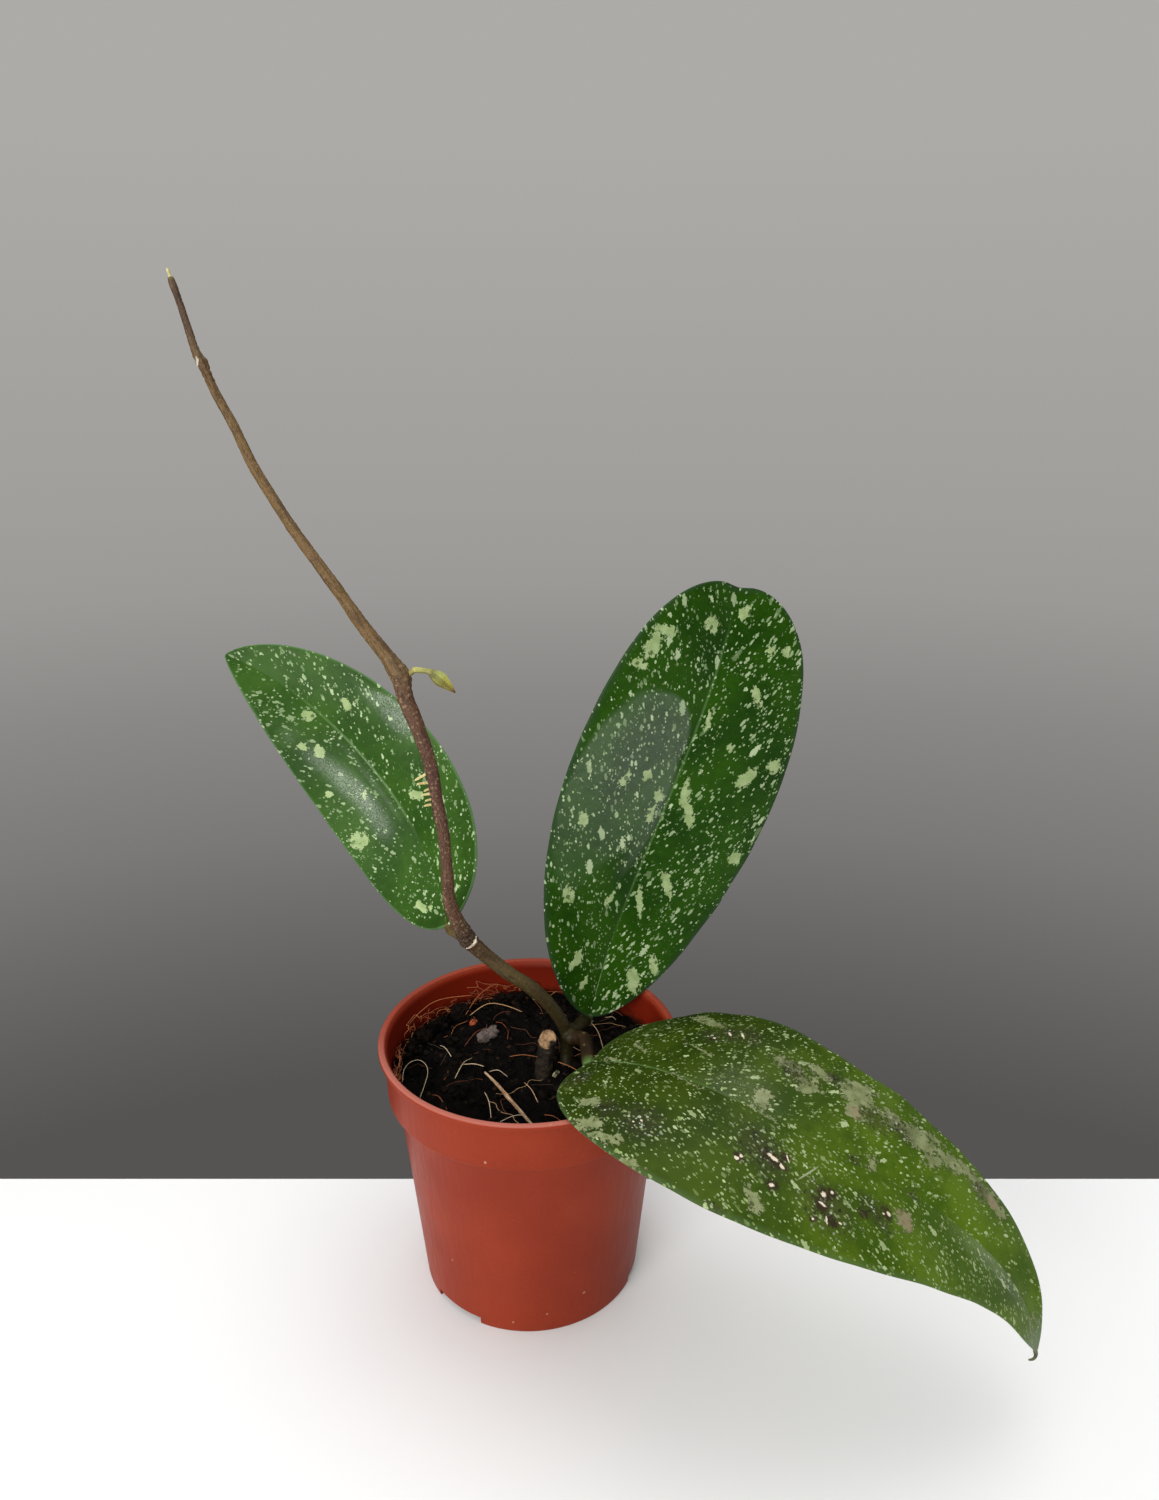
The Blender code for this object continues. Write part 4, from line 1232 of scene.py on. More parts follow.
# %% Petiole lines
LOWER_NODE = Vector((-17.3, -1.0, 114.2))
UPPER_NODE = Vector((-32.1, -4.0, 194.1))
BASE_NODE = Vector((11.2, 3.0, 79.2))
TIP_NODE = Vector((-81.0, 10.0, 273.9))
LEFT_WAY = Vector((-0.755, 0.64, 0.14)).normalized()
UPRIGHT_WAY = Vector((0.62, 0.78, -0.02)).normalized()
DROOPING_WAY = Vector((0.8, -0.6, 0.08)).normalized()
CUSHION_REACH = 3.9
PETIOLE_LEAD = 0.33
RIB_END = 0.9
RIB_POINTS = 16
RIB_TIP_RADIUS = 0.5
RIB_SUNK = 0.65
PETIOLE_SIDES = 18
GREEN_BORDER = 6.0


def rib_path(leaf, node, way):
    """Petiole and midrib as one line of x, y, z and radius."""
    thick, thin = leaf["petiole"]
    start = node + way * (CUSHION_REACH - 0.7)
    base = Vector(leaf["midrib"][0])
    path = [(*start, thick), (*(start + way * (base - start).length * PETIOLE_LEAD), thick)]
    for k in range(RIB_POINTS):
        s = RIB_END * k / (RIB_POINTS - 1)
        place, _, out = blade_frame(leaf, s)
        radius = thin + (RIB_TIP_RADIUS - thin) * (s / RIB_END) ** 0.7
        path.append((*(place - out * (LEAF_THICK * 0.5 + radius * RIB_SUNK)), radius))
    return smooth(path, 5)


def knobbly(path, seed, size, wave):
    """The same line with its radius varied by noise, as on corky stems."""
    made = []
    for row in path:
        lump = rough(row[0] * wave, row[1] * wave, row[2] * wave + seed)
        made.append(Vector((*row[:3], row[3] * (1.0 + size * lump))))
    return made


def petiole(leaf, node, way, name):
    """Sweeps the line and stores how far each point is along it."""
    bm = bmesh.new()
    layer = bm.verts.layers.float.new("along")
    path = knobbly(rib_path(leaf, node, way), leaf["seed"], 0.12, 0.55)
    lengths = lengths_along([Vector(row[:3]) for row in path])
    for ring, length in zip(sweep(bm, path, PETIOLE_SIDES), lengths):
        for vertex in ring:
            vertex[layer] = length
    return to_mesh(bm, name)


print("a petiole line has", len(rib_path(LEFT_LEAF, LOWER_NODE, LEFT_WAY)), "rings")

# %% [markdown]
# The left leaf's stalk is tan, the upright one's is a near-black olive that is painted shade, and
# the oldest one is a dark ochre brown, partly its own colour and partly painted shade. All turn to
# the green of the blade a few millimetres along, and a little grain bends that border.

# %% Petioles
def petiole_finish(name, bark, green, turn_at):
    """Bark tone near the node that gives way to green under the blade."""
    tree, shader, made = finish(name, 0.55, 0.15)
    place = millimetres(tree)
    skin = mottled(tree, place, *bark, 0.3, 2.5)
    rib = mottled(tree, place, *green, 0.1, 1.2)
    along = plus(tree, measured(tree, "along"), times(tree, skin[1], 3.0))
    share = step_up(tree, along, turn_at, turn_at + GREEN_BORDER)
    corky = lay(tree, skin[0], speckle(tree, place, 1.2, 0.15, 0.4), 0.25, (0.3, 0.22, 0.12))
    dress(tree, shader, blend(tree, share, corky, rib[0]), skin[1], 0.25, 0.6)
    return made


RIB_GREEN = ((0.14, 0.25, 0.07), (0.08, 0.16, 0.04))
tan_skin = petiole_finish("petiole_tan", ((0.17, 0.115, 0.04), (0.07, 0.045, 0.016)), RIB_GREEN, 9.0)
# Painted shade: the olive stalk's near-black bark tones stand in for the shade that it sits in.
shaded_olive_skin = petiole_finish("petiole_olive_shade", ((0.03, 0.026, 0.008), (0.012, 0.01, 0.003)), RIB_GREEN, 9.0)
# The ochre stalk's dark brown is partly its own colour and partly painted shade.
shaded_ochre_skin = petiole_finish(
    "petiole_ochre_shade", ((0.034, 0.018, 0.005), (0.012, 0.007, 0.003)), RIB_GREEN, 12.0,
)
for name, leaf, node, way, skin in (
    ("leaf_left_rib", LEFT_LEAF, LOWER_NODE, LEFT_WAY, tan_skin),
    ("leaf_upright_rib", UPRIGHT_LEAF, BASE_NODE, UPRIGHT_WAY, shaded_olive_skin),
    ("leaf_drooping_rib", DROOPING_LEAF, BASE_NODE, DROOPING_WAY, shaded_ochre_skin),
):
    place_piece(name, petiole(leaf, node, way, name), skin, [name[: -len("_rib")]])

# %% [markdown]
# The drooping leaf's midrib runs out past the blade into a small curled point, dried grey.

# %% Curled point
HOOK_START = 0.95
HOOK_SINK = 0.65
HOOK_RADIUS = 0.6
HOOK = (
    (0.1, -0.3, -0.8, 0.52), (-0.1, -0.5, -1.7, 0.42), (-0.8, -0.5, -2.4, 0.34), (-1.7, -0.4, -2.6, 0.22),
)


def curled_point(leaf):
    """Follows the last of the midrib and then the hook's own points."""
    path = []
    for s in (HOOK_START, 0.5 + 0.5 * HOOK_START, 1.0):
        place, _, out = blade_frame(leaf, s)
        path.append(Vector((*(place - out * HOOK_SINK), HOOK_RADIUS)))
    apex = path[-1].copy()
    for x, y, z, radius in HOOK:
        path.append(Vector((apex[0] + x, apex[1] + y, apex[2] + z, radius)))
    return tubes("curled_point", [smooth(path, 5)], 12)


dry_point = two_tone("dry_point", 0.6, 0.3, (0.15, 0.18, 0.08), (0.06, 0.05, 0.03), 0.5, 3.0, 0.15, 0.5)
point_mesh = curled_point(DROOPING_LEAF)
place_piece("leaf_drooping_point", point_mesh, dry_point, ["leaf_drooping"])

# %% [markdown]
# ## The runner
# The main stem climbs out of the peat, passes the node of the left leaf, then the node with the
# young shoot, and ends in a bare tip: hoyas grow long leafless runners to look for support. The
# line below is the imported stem's own, each point with its radius.

# %% Runner line
RUNNER = (
    (11.1, 1.7, 44.0, 1.75), (11.1, 1.7, 66.0, 1.8), (11.2, 2.2, 70.0, 1.85), (11.4, 3.3, 73.6, 1.88),
    (11.1, 3.0, 80.5, 2.0), (8.7, 2.0, 86.7, 2.05), (4.7, 1.0, 92.9, 2.08), (-0.1, 0.5, 98.0, 2.12),
    (-5.5, 0.0, 102.2, 2.15), (-11.4, 0.0, 107.5, 2.15), (-15.4, -0.5, 111.8, 2.38),
    (-17.3, -1.0, 114.2, 2.7), (-18.4, -1.8, 117.2, 2.4), (-19.8, -3.0, 120.9, 2.17),
    (-21.7, -5.0, 128.4, 1.85), (-21.7, -7.0, 139.5, 1.68), (-22.1, -8.0, 149.9, 1.7),
    (-23.5, -8.0, 159.6, 1.75), (-24.6, -8.0, 169.1, 1.79), (-26.7, -7.0, 177.4, 1.89),
    (-29.1, -6.0, 183.9, 2.15), (-31.3, -5.0, 189.6, 2.27), (-32.1, -4.0, 194.1, 2.67),
    (-33.9, -3.5, 197.2, 2.45), (-35.8, -3.0, 200.0, 2.0), (-42.1, -1.0, 207.8, 1.73),
    (-47.7, 1.0, 215.6, 1.59), (-54.0, 3.0, 224.2, 1.53), (-60.2, 5.0, 232.7, 1.47),
    (-65.6, 7.0, 241.2, 1.44), (-70.0, 8.0, 248.9, 1.37), (-74.1, 9.0, 258.2, 1.3),
    (-78.3, 10.0, 266.4, 1.26), (-80.3, 10.0, 271.9, 1.3), (-81.0, 10.0, 273.9, 1.5),
    (-82.3, 10.0, 276.5, 1.15), (-83.9, 11.0, 282.0, 1.02), (-85.8, 12.0, 288.6, 0.88),
    (-87.0, 12.0, 292.8, 0.98), (-87.4, 12.0, 294.4, 0.72),
)
VINE_SIDES = 22
BARK_VOXEL = 0.3
runner_line = smooth(RUNNER, 6)
print("the runner line has", len(runner_line), "points")

# %% [markdown]
# The stem and its leaf cushions are swept one by one and then remeshed into one skin, so that each
# cushion grows out of its node without a seam. Bark relief comes after that: long shallow ridges,
# finer grain, and rings of raised skin at the nodes.

# %% Runner mesh
CUSHIONS = (
    (LOWER_NODE, LEFT_WAY, LEFT_LEAF["petiole"][0]), (BASE_NODE, UPRIGHT_WAY, UPRIGHT_LEAF["petiole"][0]),
    (BASE_NODE, DROOPING_WAY, DROOPING_LEAF["petiole"][0]),
)
BARK_RIDGE = 0.16
BARK_GRAIN = 0.08
NODE_RINGS = 0.09
NODE_REACH = 4.5
NODES = (LOWER_NODE, UPPER_NODE, TIP_NODE)
bark_tree = KDTree(len(runner_line))
for index, row in enumerate(runner_line):
    bark_tree.insert(row[:3], index)
bark_tree.balance()


def bark_relief(place):
    """How far a point of the skin stands out, in millimetres."""
    centre = bark_tree.find(place)[0]
    away = place - centre
    ridge = rough(*on_circle(math.atan2(away.y, away.x), 1.6), centre.z * 0.07)
    fine_grain = noise.noise(place * 0.9) + 0.6 * noise.noise(place * 2.1)
    near = max(math.exp(-(((centre - node).length / NODE_REACH) ** 2)) for node in NODES)
    ring = math.sin(centre.z * 4.2 + 1.5 * noise.noise(place * 0.5))
    return BARK_RIDGE * ridge + BARK_GRAIN * fine_grain * (1.0 + near) + NODE_RINGS * near * ring


def runner_mesh():
    """The stem with its cushions, as one skin with relief; each point keeps its place on the stem."""
    paths = [knobbly(runner_line, 2.0, 0.07, 0.35)]
    for node, way, radius in CUSHIONS:
        near = (*(node + way * 0.4), radius * 1.05)
        middle = (*(node + way * 0.6 * CUSHION_REACH), radius * 1.12)
        far = (*(node + way * CUSHION_REACH), radius)
        paths.append(smooth((near, middle, far), 4))
    skin = remeshed(tubes("runner_raw", paths, VINE_SIDES), BARK_VOXEL)
    centres = [Vector(row[:3]) for row in runner_line]
    lengths = lengths_along(centres)
    directions = ring_directions(centres)
    along = []
    wrap = []
    for vertex in skin.vertices:
        place = vertex.co / MM
        centre, index, _ = bark_tree.find(place)
        along.append(index / (len(runner_line) - 1))
        away = (place - centre).normalized()
        side, up = directions[index]
        length = lengths[index] + (place - centre).dot(side.cross(up))
        wrap += [away.dot(side) * 2.0, away.dot(up) * 2.0, length]
    store(skin, "along", along)
    skin.attributes.new("wrap", "FLOAT_VECTOR", "POINT").data.foreach_set("vector", wrap)
    push_out(skin, bark_relief)
    return skin


vine_mesh = runner_mesh()
print("the runner skin has", len(vine_mesh.polygons), "faces")

# %% [markdown]
# The bark changes along the stem. It is olive brown above the peat, brown purple between the two
# leaf nodes, and ochre olive on the young runner. A colour ramp over the stored position does that,
# with streaks, pale pores and a few scars on top.

# %% Bark finish
BARK_ZONES = (
    (0.0, (0.012, 0.011, 0.003)), (0.1, (0.022, 0.019, 0.004)), (0.16, (0.05, 0.037, 0.01)),
    (0.2, (0.095, 0.068, 0.024)), (0.26, (0.076, 0.044, 0.019)), (0.275, (0.06, 0.036, 0.017)),
    (0.3, (0.046, 0.029, 0.016)), (0.325, (0.085, 0.047, 0.025)), (0.35, (0.125, 0.06, 0.032)),
    (0.46, (0.1, 0.042, 0.028)), (0.55, (0.13, 0.068, 0.034)), (0.575, (0.17, 0.105, 0.04)),
    (0.63, (0.17, 0.1, 0.036)), (0.8, (0.19, 0.115, 0.042)), (0.86, (0.15, 0.085, 0.036)),
    (0.9, (0.16, 0.1, 0.045)), (0.93, (0.1, 0.056, 0.034)), (0.98, (0.12, 0.075, 0.04)),
    (1.0, (0.24, 0.22, 0.09)),
)


def zone_ramp(tree, value, zones):
    """A colour ramp through these places and colours."""
    node = tree.nodes.new("ShaderNodeValToRGB")
    tree.links.new(value, node.inputs[0])
    stops = node.color_ramp.elements
    while len(stops) > 1:
        stops.remove(stops[0])
    stops[0].position = zones[0][0]
    stops[0].color = (*zones[0][1], 1.0)
    for position, colour in zones[1:]:
        stop = stops.new(position)
        stop.color = (*colour, 1.0)
    return node.outputs[0]


tree, shader, stem_bark = finish("runner_bark", 0.5, 0.25)
zone = zone_ramp(tree, measured(tree, "along"), BARK_ZONES)
wrapped = wire(tree, "Attribute", output="Vector", attribute_name="wrap")
streak = grain(tree, stretch_place(tree, wrapped, 1.0, 1.0, 0.16), 1.3, 5.0, 0.65)
streaked = blend(tree, step_up(tree, streak, 0.46, 0.62, 0.0, 0.6), zone, (0.035, 0.016, 0.011))
lint = grain(tree, stretch_place(tree, wrapped, 1.0, 1.0, 0.45), 2.6, 4.0, 0.75)
young = step_up(tree, measured(tree, "along"), 0.56, 0.62, 1.0, 0.4)
old = times(tree, step_up(tree, measured(tree, "along"), 0.2, 0.3, 0.12, 1.0), young)
linted = lay(tree, streaked, step_up(tree, lint, 0.52, 0.64, 0.0, 0.42), old, (0.34, 0.23, 0.15))
pores = speckle(tree, wrapped, 0.85, 0.4, 0.5)
pored = lay(tree, linted, pores, times(tree, old, 0.4), (0.42, 0.3, 0.17))
tree.links.new(step_up(tree, streak, 0.3, 0.7, 0.36, 0.6), shader["Roughness"])
dress(tree, shader, pored, plus(tree, streak, times(tree, lint, 0.6)), 0.3, 0.7)
place_piece("vine_bark", vine_mesh, stem_bark, ["vine"])

# %% [markdown]
# On the side of the stem that looked for support, seven cream nubs stand out: root initials, the
# beginnings of the roots that a climbing hoya holds on with. A tiny bud of the same pale tone ends
# the runner. A pale crescent at the lower node is the scar of a lost leaf, and a flake of pale skin
# sits at the last node. Both scars follow the bark, because each of their points is moved onto it.

# %% Root initials and scars
NUBS = (
    (160.4, 1.9, 0.0, 190.0, 0.36), (161.5, 1.4, 0.05, 204.0, 0.32), (162.8, 2.1, -0.05, 186.0, 0.38),
    (164.1, 1.2, -0.1, 200.0, 0.34), (165.3, 2.8, 0.0, 188.0, 0.4), (166.6, 1.2, 0.1, 206.0, 0.3),
    (169.0, 3.2, -0.4, 192.0, 0.42),
)
TIP_BUD = (
    (-87.3, 12.0, 293.7, 0.6), (-87.6, 12.0, 294.9, 0.36), (-87.8, 12.0, 295.7, 0.42),
    (-88.0, 12.0, 296.4, 0.12),
)
CRESCENT = (
    (-14.8, -1.2, 115.2, 0.16), (-14.9, -2.0, 114.7, 0.4), (-15.2, -2.6, 114.0, 0.74),
    (-15.7, -2.9, 113.4, 0.5), (-16.6, -3.0, 112.8, 0.24), (-17.5, -2.8, 112.4, 0.14),
)
TIP_SCAR = ((-82.0, 9.0, 273.2, 0.2), (-81.6, 8.8, 274.4, 0.45), (-81.9, 8.9, 275.4, 0.22))
SUNK = 0.1


def runner_at(height):
    """The stem's middle and radius at a height above the node of the left leaf."""
    rows = [row for row in runner_line if row[2] > 120.0]
    return min(rows, key=lambda row: abs(row[2] - height))


def nub_paths():
    """Short knobbly lines for the root initials and the tip's bud."""
    made = []
    for height, reach, slope, azimuth, radius in NUBS:
        middle = runner_at(height)
        turn = math.radians(azimuth)
        way = Vector((math.cos(turn), math.sin(turn), slope)).normalized()
        start = Vector(middle[:3]) + way * middle[3] * 0.7
        rows = []
        for part, share in ((0.0, 1.3), (0.3, 1.0), (0.7, 0.9), (0.92, 0.65), (1.0, 0.2)):
            bend = Vector((0.0, 0.0, -0.35 * part * part))
            rows.append(Vector((*(start + way * (0.6 + reach) * part + bend), radius * share)))
        made.append(knobbly(smooth(rows, 4), height, 0.3, 1.6))
    return made + [smooth(TIP_BUD, 5)]


def on_bark(x, y, z, radius):
    """The spot of the stem's skin nearest to a point, sunk by a share of the strip's radius."""
    centre, index, _ = bark_tree.find((x, y, z))
    away = (Vector((x, y, z)) - centre).normalized()
    return (*(centre + away * (runner_line[index][3] - SUNK * radius)), radius)


def scar_path(line):
    """A knobbly line of thin raised skin that follows the stem."""
    return knobbly(smooth([on_bark(*row) for row in line], 5), 7.0, 0.4, 1.4)


cream = two_tone("cream_root", 0.55, 0.35, (0.72, 0.66, 0.32), (0.52, 0.42, 0.16), 0.7, 3.0, 0.12, 0.5)
place_piece("root_initials", tubes("root_initials", nub_paths(), 12), cream)

dead_skin = two_tone(
    "dead_pale_skin", 0.75, 0.25, (0.78, 0.72, 0.6), (0.36, 0.27, 0.17), 0.6, 2.5, 0.2, 0.7,
)
scar_mesh = tubes("pale_scars", [scar_path(CRESCENT), scar_path(TIP_SCAR)], 9)
place_piece("pale_scars", scar_mesh, dead_skin)

# %% [markdown]
# ## The young shoot
# The upper node has begun a new growth: a short stalk with two tiny leaves still pressed together,
# yellow green with a brown point. Pushing each ring of the bud out towards front and back turns its
# round section into a rhombus, and that gives the keels. The place on the keel is stored as well.

# %% Young shoot
SHOOT_REACH = 3.6
SHOOT = (
    (-28.5, -4.0, 196.5, 0.8), (-26.6, -4.0, 196.4, 0.74), (-24.9, -4.0, 196.1, 0.78),
    (-24.0, -4.0, 195.7, 1.2), (-22.8, -4.0, 194.8, 1.85), (-21.5, -4.0, 193.7, 2.0),
    (-20.0, -4.0, 192.3, 1.35), (-18.7, -4.0, 191.0, 0.65), (-17.9, -4.0, 190.2, 0.2),
)
BUD_FLAT = 0.8
BUD_START = 0.42


def shoot_mesh():
    """The stalk reaches back into the node; the bud is flattened and has a keel on both sides."""
    way = (Vector(SHOOT[0][:3]) - UPPER_NODE).normalized()
    first = (*(UPPER_NODE + way * 1.2), 1.05)
    second = (*(UPPER_NODE + way * SHOOT_REACH), 0.7)
    path = smooth((first, second, *SHOOT), 6)
    bm = bmesh.new()
    layers = {key: bm.verts.layers.float.new(key) for key in ("along", "under", "ridge")}
    rings = sweep(bm, path, 24)
    for k, ring in enumerate(rings):
        share = k / (len(rings) - 1)
        centre = Vector(path[k][:3])
        bud = min(1.0, max(0.0, (share - BUD_START) / 0.1))
        for vertex in ring:
            away = vertex.co - centre
            toward = abs(away.y) / away.length
            beside = math.sqrt(max(0.0, 1.0 - toward * toward))
            keel = 1.0 + bud * (1.0 / (toward + beside) - 1.0) * 0.85
            vertex[layers["along"]] = share
            vertex[layers["under"]] = 0.5 - 0.5 * away.z / away.length
            vertex[layers["ridge"]] = bud * max(0.0, toward - 0.55) / 0.45
            away.y *= 1.0 - bud * (1.0 - BUD_FLAT)
            vertex.co = centre + away * keel
    return to_mesh(bm, "young_shoot")


SHOOT_ZONES = (
    (0.0, (0.3, 0.24, 0.08)), (0.2, (0.46, 0.44, 0.12)), (0.42, (0.36, 0.36, 0.1)),
    (0.5, (0.26, 0.26, 0.09)), (0.6, (0.44, 0.5, 0.14)), (0.82, (0.46, 0.42, 0.07)),
    (0.93, (0.2, 0.11, 0.03)), (1.0, (0.05, 0.02, 0.012)),
)
tree, shader, bud_green = finish("young_green", 0.42, 0.45)
shade = zone_ramp(tree, measured(tree, "along"), SHOOT_ZONES)
drift = mottled(tree, millimetres(tree), (1.0, 1.0, 1.0), (0.62, 0.6, 0.5), 0.4, 2.0)
# The side of the shoot that faces down is laid over with a dark brown.
below = step_up(tree, measured(tree, "under"), 0.62, 0.95, 0.0, 0.75)
darker_below = blend(tree, below, shade, (0.16, 0.07, 0.025))
keel_line = step_up(tree, measured(tree, "ridge"), 0.5, 0.95, 0.0, 0.6)
keeled = blend(tree, keel_line, darker_below, (0.13, 0.09, 0.03))
dress(tree, shader, blend(tree, 0.8, keeled, drift[0], "MULTIPLY"), drift[1], 0.15, 0.5)
place_piece("young_shoot_bud", shoot_mesh(), bud_green, ["young_shoot"])

# %% [markdown]
# ## The old cutting
# In front of the runner stands the cut end of the cutting that the plant was grown from: a thick
# woody peg with a slanting face and pale corky rings on it. Below the face, a dark spot of painted
# shade stands in for a crack.

# %% Cutting stub
STUB = ((4.0, -4.6, 52.0, 2.7), (4.4, -4.1, 70.0, 2.75), (5.2, -3.1, 76.5, 2.75), (6.2, -1.8, 84.0, 2.75))
STUB_CUT = Vector((5.9, -2.1, 81.8))
STUB_CUT_NORMAL = Vector((0.05, -0.4, 0.91)).normalized()
STUB_VOXEL = 0.24
STUB_CRACK_SHADE = (7.5, -4.3, 80.2)


def sawn_share(place):
    """1 on the sawn face, 0 where the bark is."""
    depth = (STUB_CUT - place).dot(STUB_CUT_NORMAL)
    return max(0.0, min(1.0, (1.3 - depth) / 0.8))


def stub_relief(place):
    """Rings around a pith hole on the sawn face, and lumps on the bark, in millimetres."""
    away = place - STUB_CUT - STUB_CUT_NORMAL * (place - STUB_CUT).dot(STUB_CUT_NORMAL)
    rings = 0.16 * math.sin(away.length * 4.2) - 0.5 * math.exp(-((away.length / 0.6) ** 2))
    lumps = 0.45 * noise.noise(place * 0.75) + 0.18 * noise.noise(place * 2.0)
    face = sawn_share(place)
    return face * (rings * 0.6 + lumps * 0.6 - 0.25) + (1.0 - face) * (lumps * 0.9 - 0.2)


def stub_mesh():
    """The peg, sawn off by a slanting plane and remeshed, with its relief."""
    bm = bmesh.new()
    sweep(bm, knobbly(smooth(STUB, 12), 4.0, 0.16, 0.4), 26)
    everything = bm.verts[:] + bm.edges[:] + bm.faces[:]
    cut = bmesh.ops.bisect_plane(
        bm, geom=everything, plane_co=STUB_CUT, plane_no=STUB_CUT_NORMAL, clear_outer=True,
    )
    rim = [item for item in cut["geom_cut"] if isinstance(item, bmesh.types.BMEdge)]
    bmesh.ops.contextual_create(bm, geom=rim)
    skin = remeshed(to_mesh(bm, "stub_raw"), STUB_VOXEL)
    store(skin, "cut", [sawn_share(vertex.co / MM) for vertex in skin.vertices])
    push_out(skin, stub_relief)
    return skin


tree, shader, cutting_wood = finish("cutting_wood", 0.7, 0.3)
place = millimetres(tree)
bark = mottled(tree, place, (0.026, 0.016, 0.007), (0.005, 0.0035, 0.002), 0.35, 2.2)
bark_tone = lay(tree, bark[0], speckle(tree, place, 1.3, 0.14, 0.6), 0.15, (0.3, 0.3, 0.22))
pith = mottled(tree, place, (0.45, 0.28, 0.145), (0.19, 0.1, 0.045), 0.5, 1.8)
cut_edge = plus(tree, measured(tree, "cut"), times(tree, pith[1], 0.5))
sawn = blend(tree, step_up(tree, cut_edge, 0.62, 0.85), bark_tone, pith[0])
ragged = torn_edge(tree, grain(tree, place, 0.9, 4.0, 0.7), 2.0)
# Painted shade: a dark spot below the sawn face stands in for a crack.
crack_shade = use(
    tree, spot, Place=place, Centre=STUB_CRACK_SHADE, Reach=(1.5, 1.5, 2.4), Softness=0.35, Ragged=ragged,
)
with_crack_shade = blend(tree, crack_shade["Mask"], sawn, (0.012, 0.007, 0.004))
dress(tree, shader, with_crack_shade, pith[1], 0.35, 0.8)
place_piece("cutting_stub_wood", stub_mesh(), cutting_wood, ["cutting_stub"])

# %% [markdown]
# ## The peat
# Peat is dark, crumbly and full of fibres. The surface is a disc of rings whose height is a
# formula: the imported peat's own lumps first, then smaller and smaller ones. The disc is closed
# below by the shape that the pot gives it.

# %% Peat surface
SOIL_RELIEF = 1.5
SOIL_WRINKLE = 9.0
PEAT_GAP = 0.3
SOIL_EDGE = COLLAR_FOOT_RADIUS - WALL - PEAT_GAP
SOIL_RINGS = 96
SOIL_STEPS = 288
LUMPS = ((0.28, 1.3, 0.7), (0.75, 6.1, 0.6), (1.9, 2.9, 0.3))
PIT_DEPTH = 1.1
PEAT_DROP = 0.25


def packed_level(x, y):
    """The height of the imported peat."""
    broad = noise.noise(Vector((x, y, 3.7)) / (SOIL_WRINKLE * 1.7))
    lumps = noise.noise(Vector((x, y, 9.1)) / (SOIL_WRINKLE * 0.6))
    return PEAT_TOP + SOIL_RELIEF * (broad * 1.2 + lumps * 0.7)


def peat_level(x, y):
    """The same height with clods, crumbs and grit on it, each from its waves, slice and height."""
    level = packed_level(x, y)
    for waves_per_mm, noise_slice, height in LUMPS:
        level += height * rough(x * waves_per_mm, y * waves_per_mm, noise_slice)
    return level - PIT_DEPTH * abs(rough(x * 0.5, y * 0.5, 14.0)) - PEAT_DROP


def peat_mesh():
    """A disc of rings on top, and three plain rings that follow the pot's inner wall down."""
    bm = bmesh.new()
    centre = bm.verts.new((0.0, 0.0, peat_level(0.0, 0.0)))
    plan = [(SOIL_EDGE * k / SOIL_RINGS, None) for k in range(1, SOIL_RINGS + 1)]
    plan.append((SOIL_EDGE, COLLAR_FOOT + 0.9))
    plan.append((BODY_TOP_RADIUS - WALL - PEAT_GAP, COLLAR_FOOT - 0.9))
    plan.append((FOOT_RADIUS - 0.9, 4.5))
    rings = []
    for radius, level in plan:
        ring = []
        for step in range(SOIL_STEPS):
            x, y = on_circle(math.tau * step / SOIL_STEPS, radius)
            z = peat_level(x, y) if level is None else level
            ring.append(bm.verts.new((x, y, z)))
        rings.append(ring)
    for step in range(SOIL_STEPS):
        j = (step + 1) % SOIL_STEPS
        bm.faces.new((centre, rings[0][step], rings[0][j]))
        for one, two in zip(rings, rings[1:]):
            bm.faces.new((one[step], two[step], two[j], one[j]))
    bm.faces.new(rings[-1][::-1])
    return to_mesh(bm, "peat")


def peat_finish(name, light, dark):
    """Almost black and quite dull, with a few brown specks."""
    tree, shader, made = finish(name, 0.92, 0.06)
    place = millimetres(tree)
    tone = mottled(tree, place, light, dark, 0.25, 1.6)
    flecked = lay(tree, tone[0], speckle(tree, place, 1.6, 0.12, 0.7), 0.4, (0.05, 0.026, 0.013))
    dress(tree, shader, flecked, tone[1], 0.5, 1.0)
    return made


peat = peat_finish("peat_dark", (0.005, 0.0038, 0.003), (0.0012, 0.001, 0.0009))
place_piece("peat_surface", peat_mesh(), peat, ["soil"])

# %% [markdown]
# Loose crumbs lie on the surface. Each is a small ball, dented by noise and flattened by a seeded
# draw, and all of them are one mesh. They gather a little towards the wall. A few big clods are
# heaped along the wall, at the left and the back, where they make the peat's edge ragged.

# %% Crumbs
CRUMBS = 620
CRUMB_SIZES = (0.35, 0.45, 0.6, 0.8, 1.1, 1.5)
COARSE_BELOW = 0.9
TWIG_CLEARANCE = 1.6
CLOD_LIFT = 0.75
CLODS = (
    (-23.6, 27.2, 2.8), (-21.4, 26.4, 1.6), (-29.4, 22.0, 2.4), (-31.8, 19.6, 1.8), (-33.8, 15.6, 2.5),
    (-35.2, 11.8, 1.4), (-36.4, 7.4, 2.2), (-37.6, 2.6, 1.5), (-38.2, -1.6, 1.3), (-38.0, -5.4, 0.9),
    (-16.4, 33.6, 1.5), (-11.0, 35.0, 2.6), (-7.4, 36.4, 1.9), (-3.0, 36.8, 2.3), (2.2, 37.2, 1.8),
)
TWIG_ENDS = ((-13.2, -3.6), (2.3, -28.5))


def scatter_spot(draw, limit):
    """An even draw over the disc, a little denser towards the wall."""
    radius = limit * draw.random() ** 0.45
    return on_circle(draw.uniform(0.0, math.tau), radius)


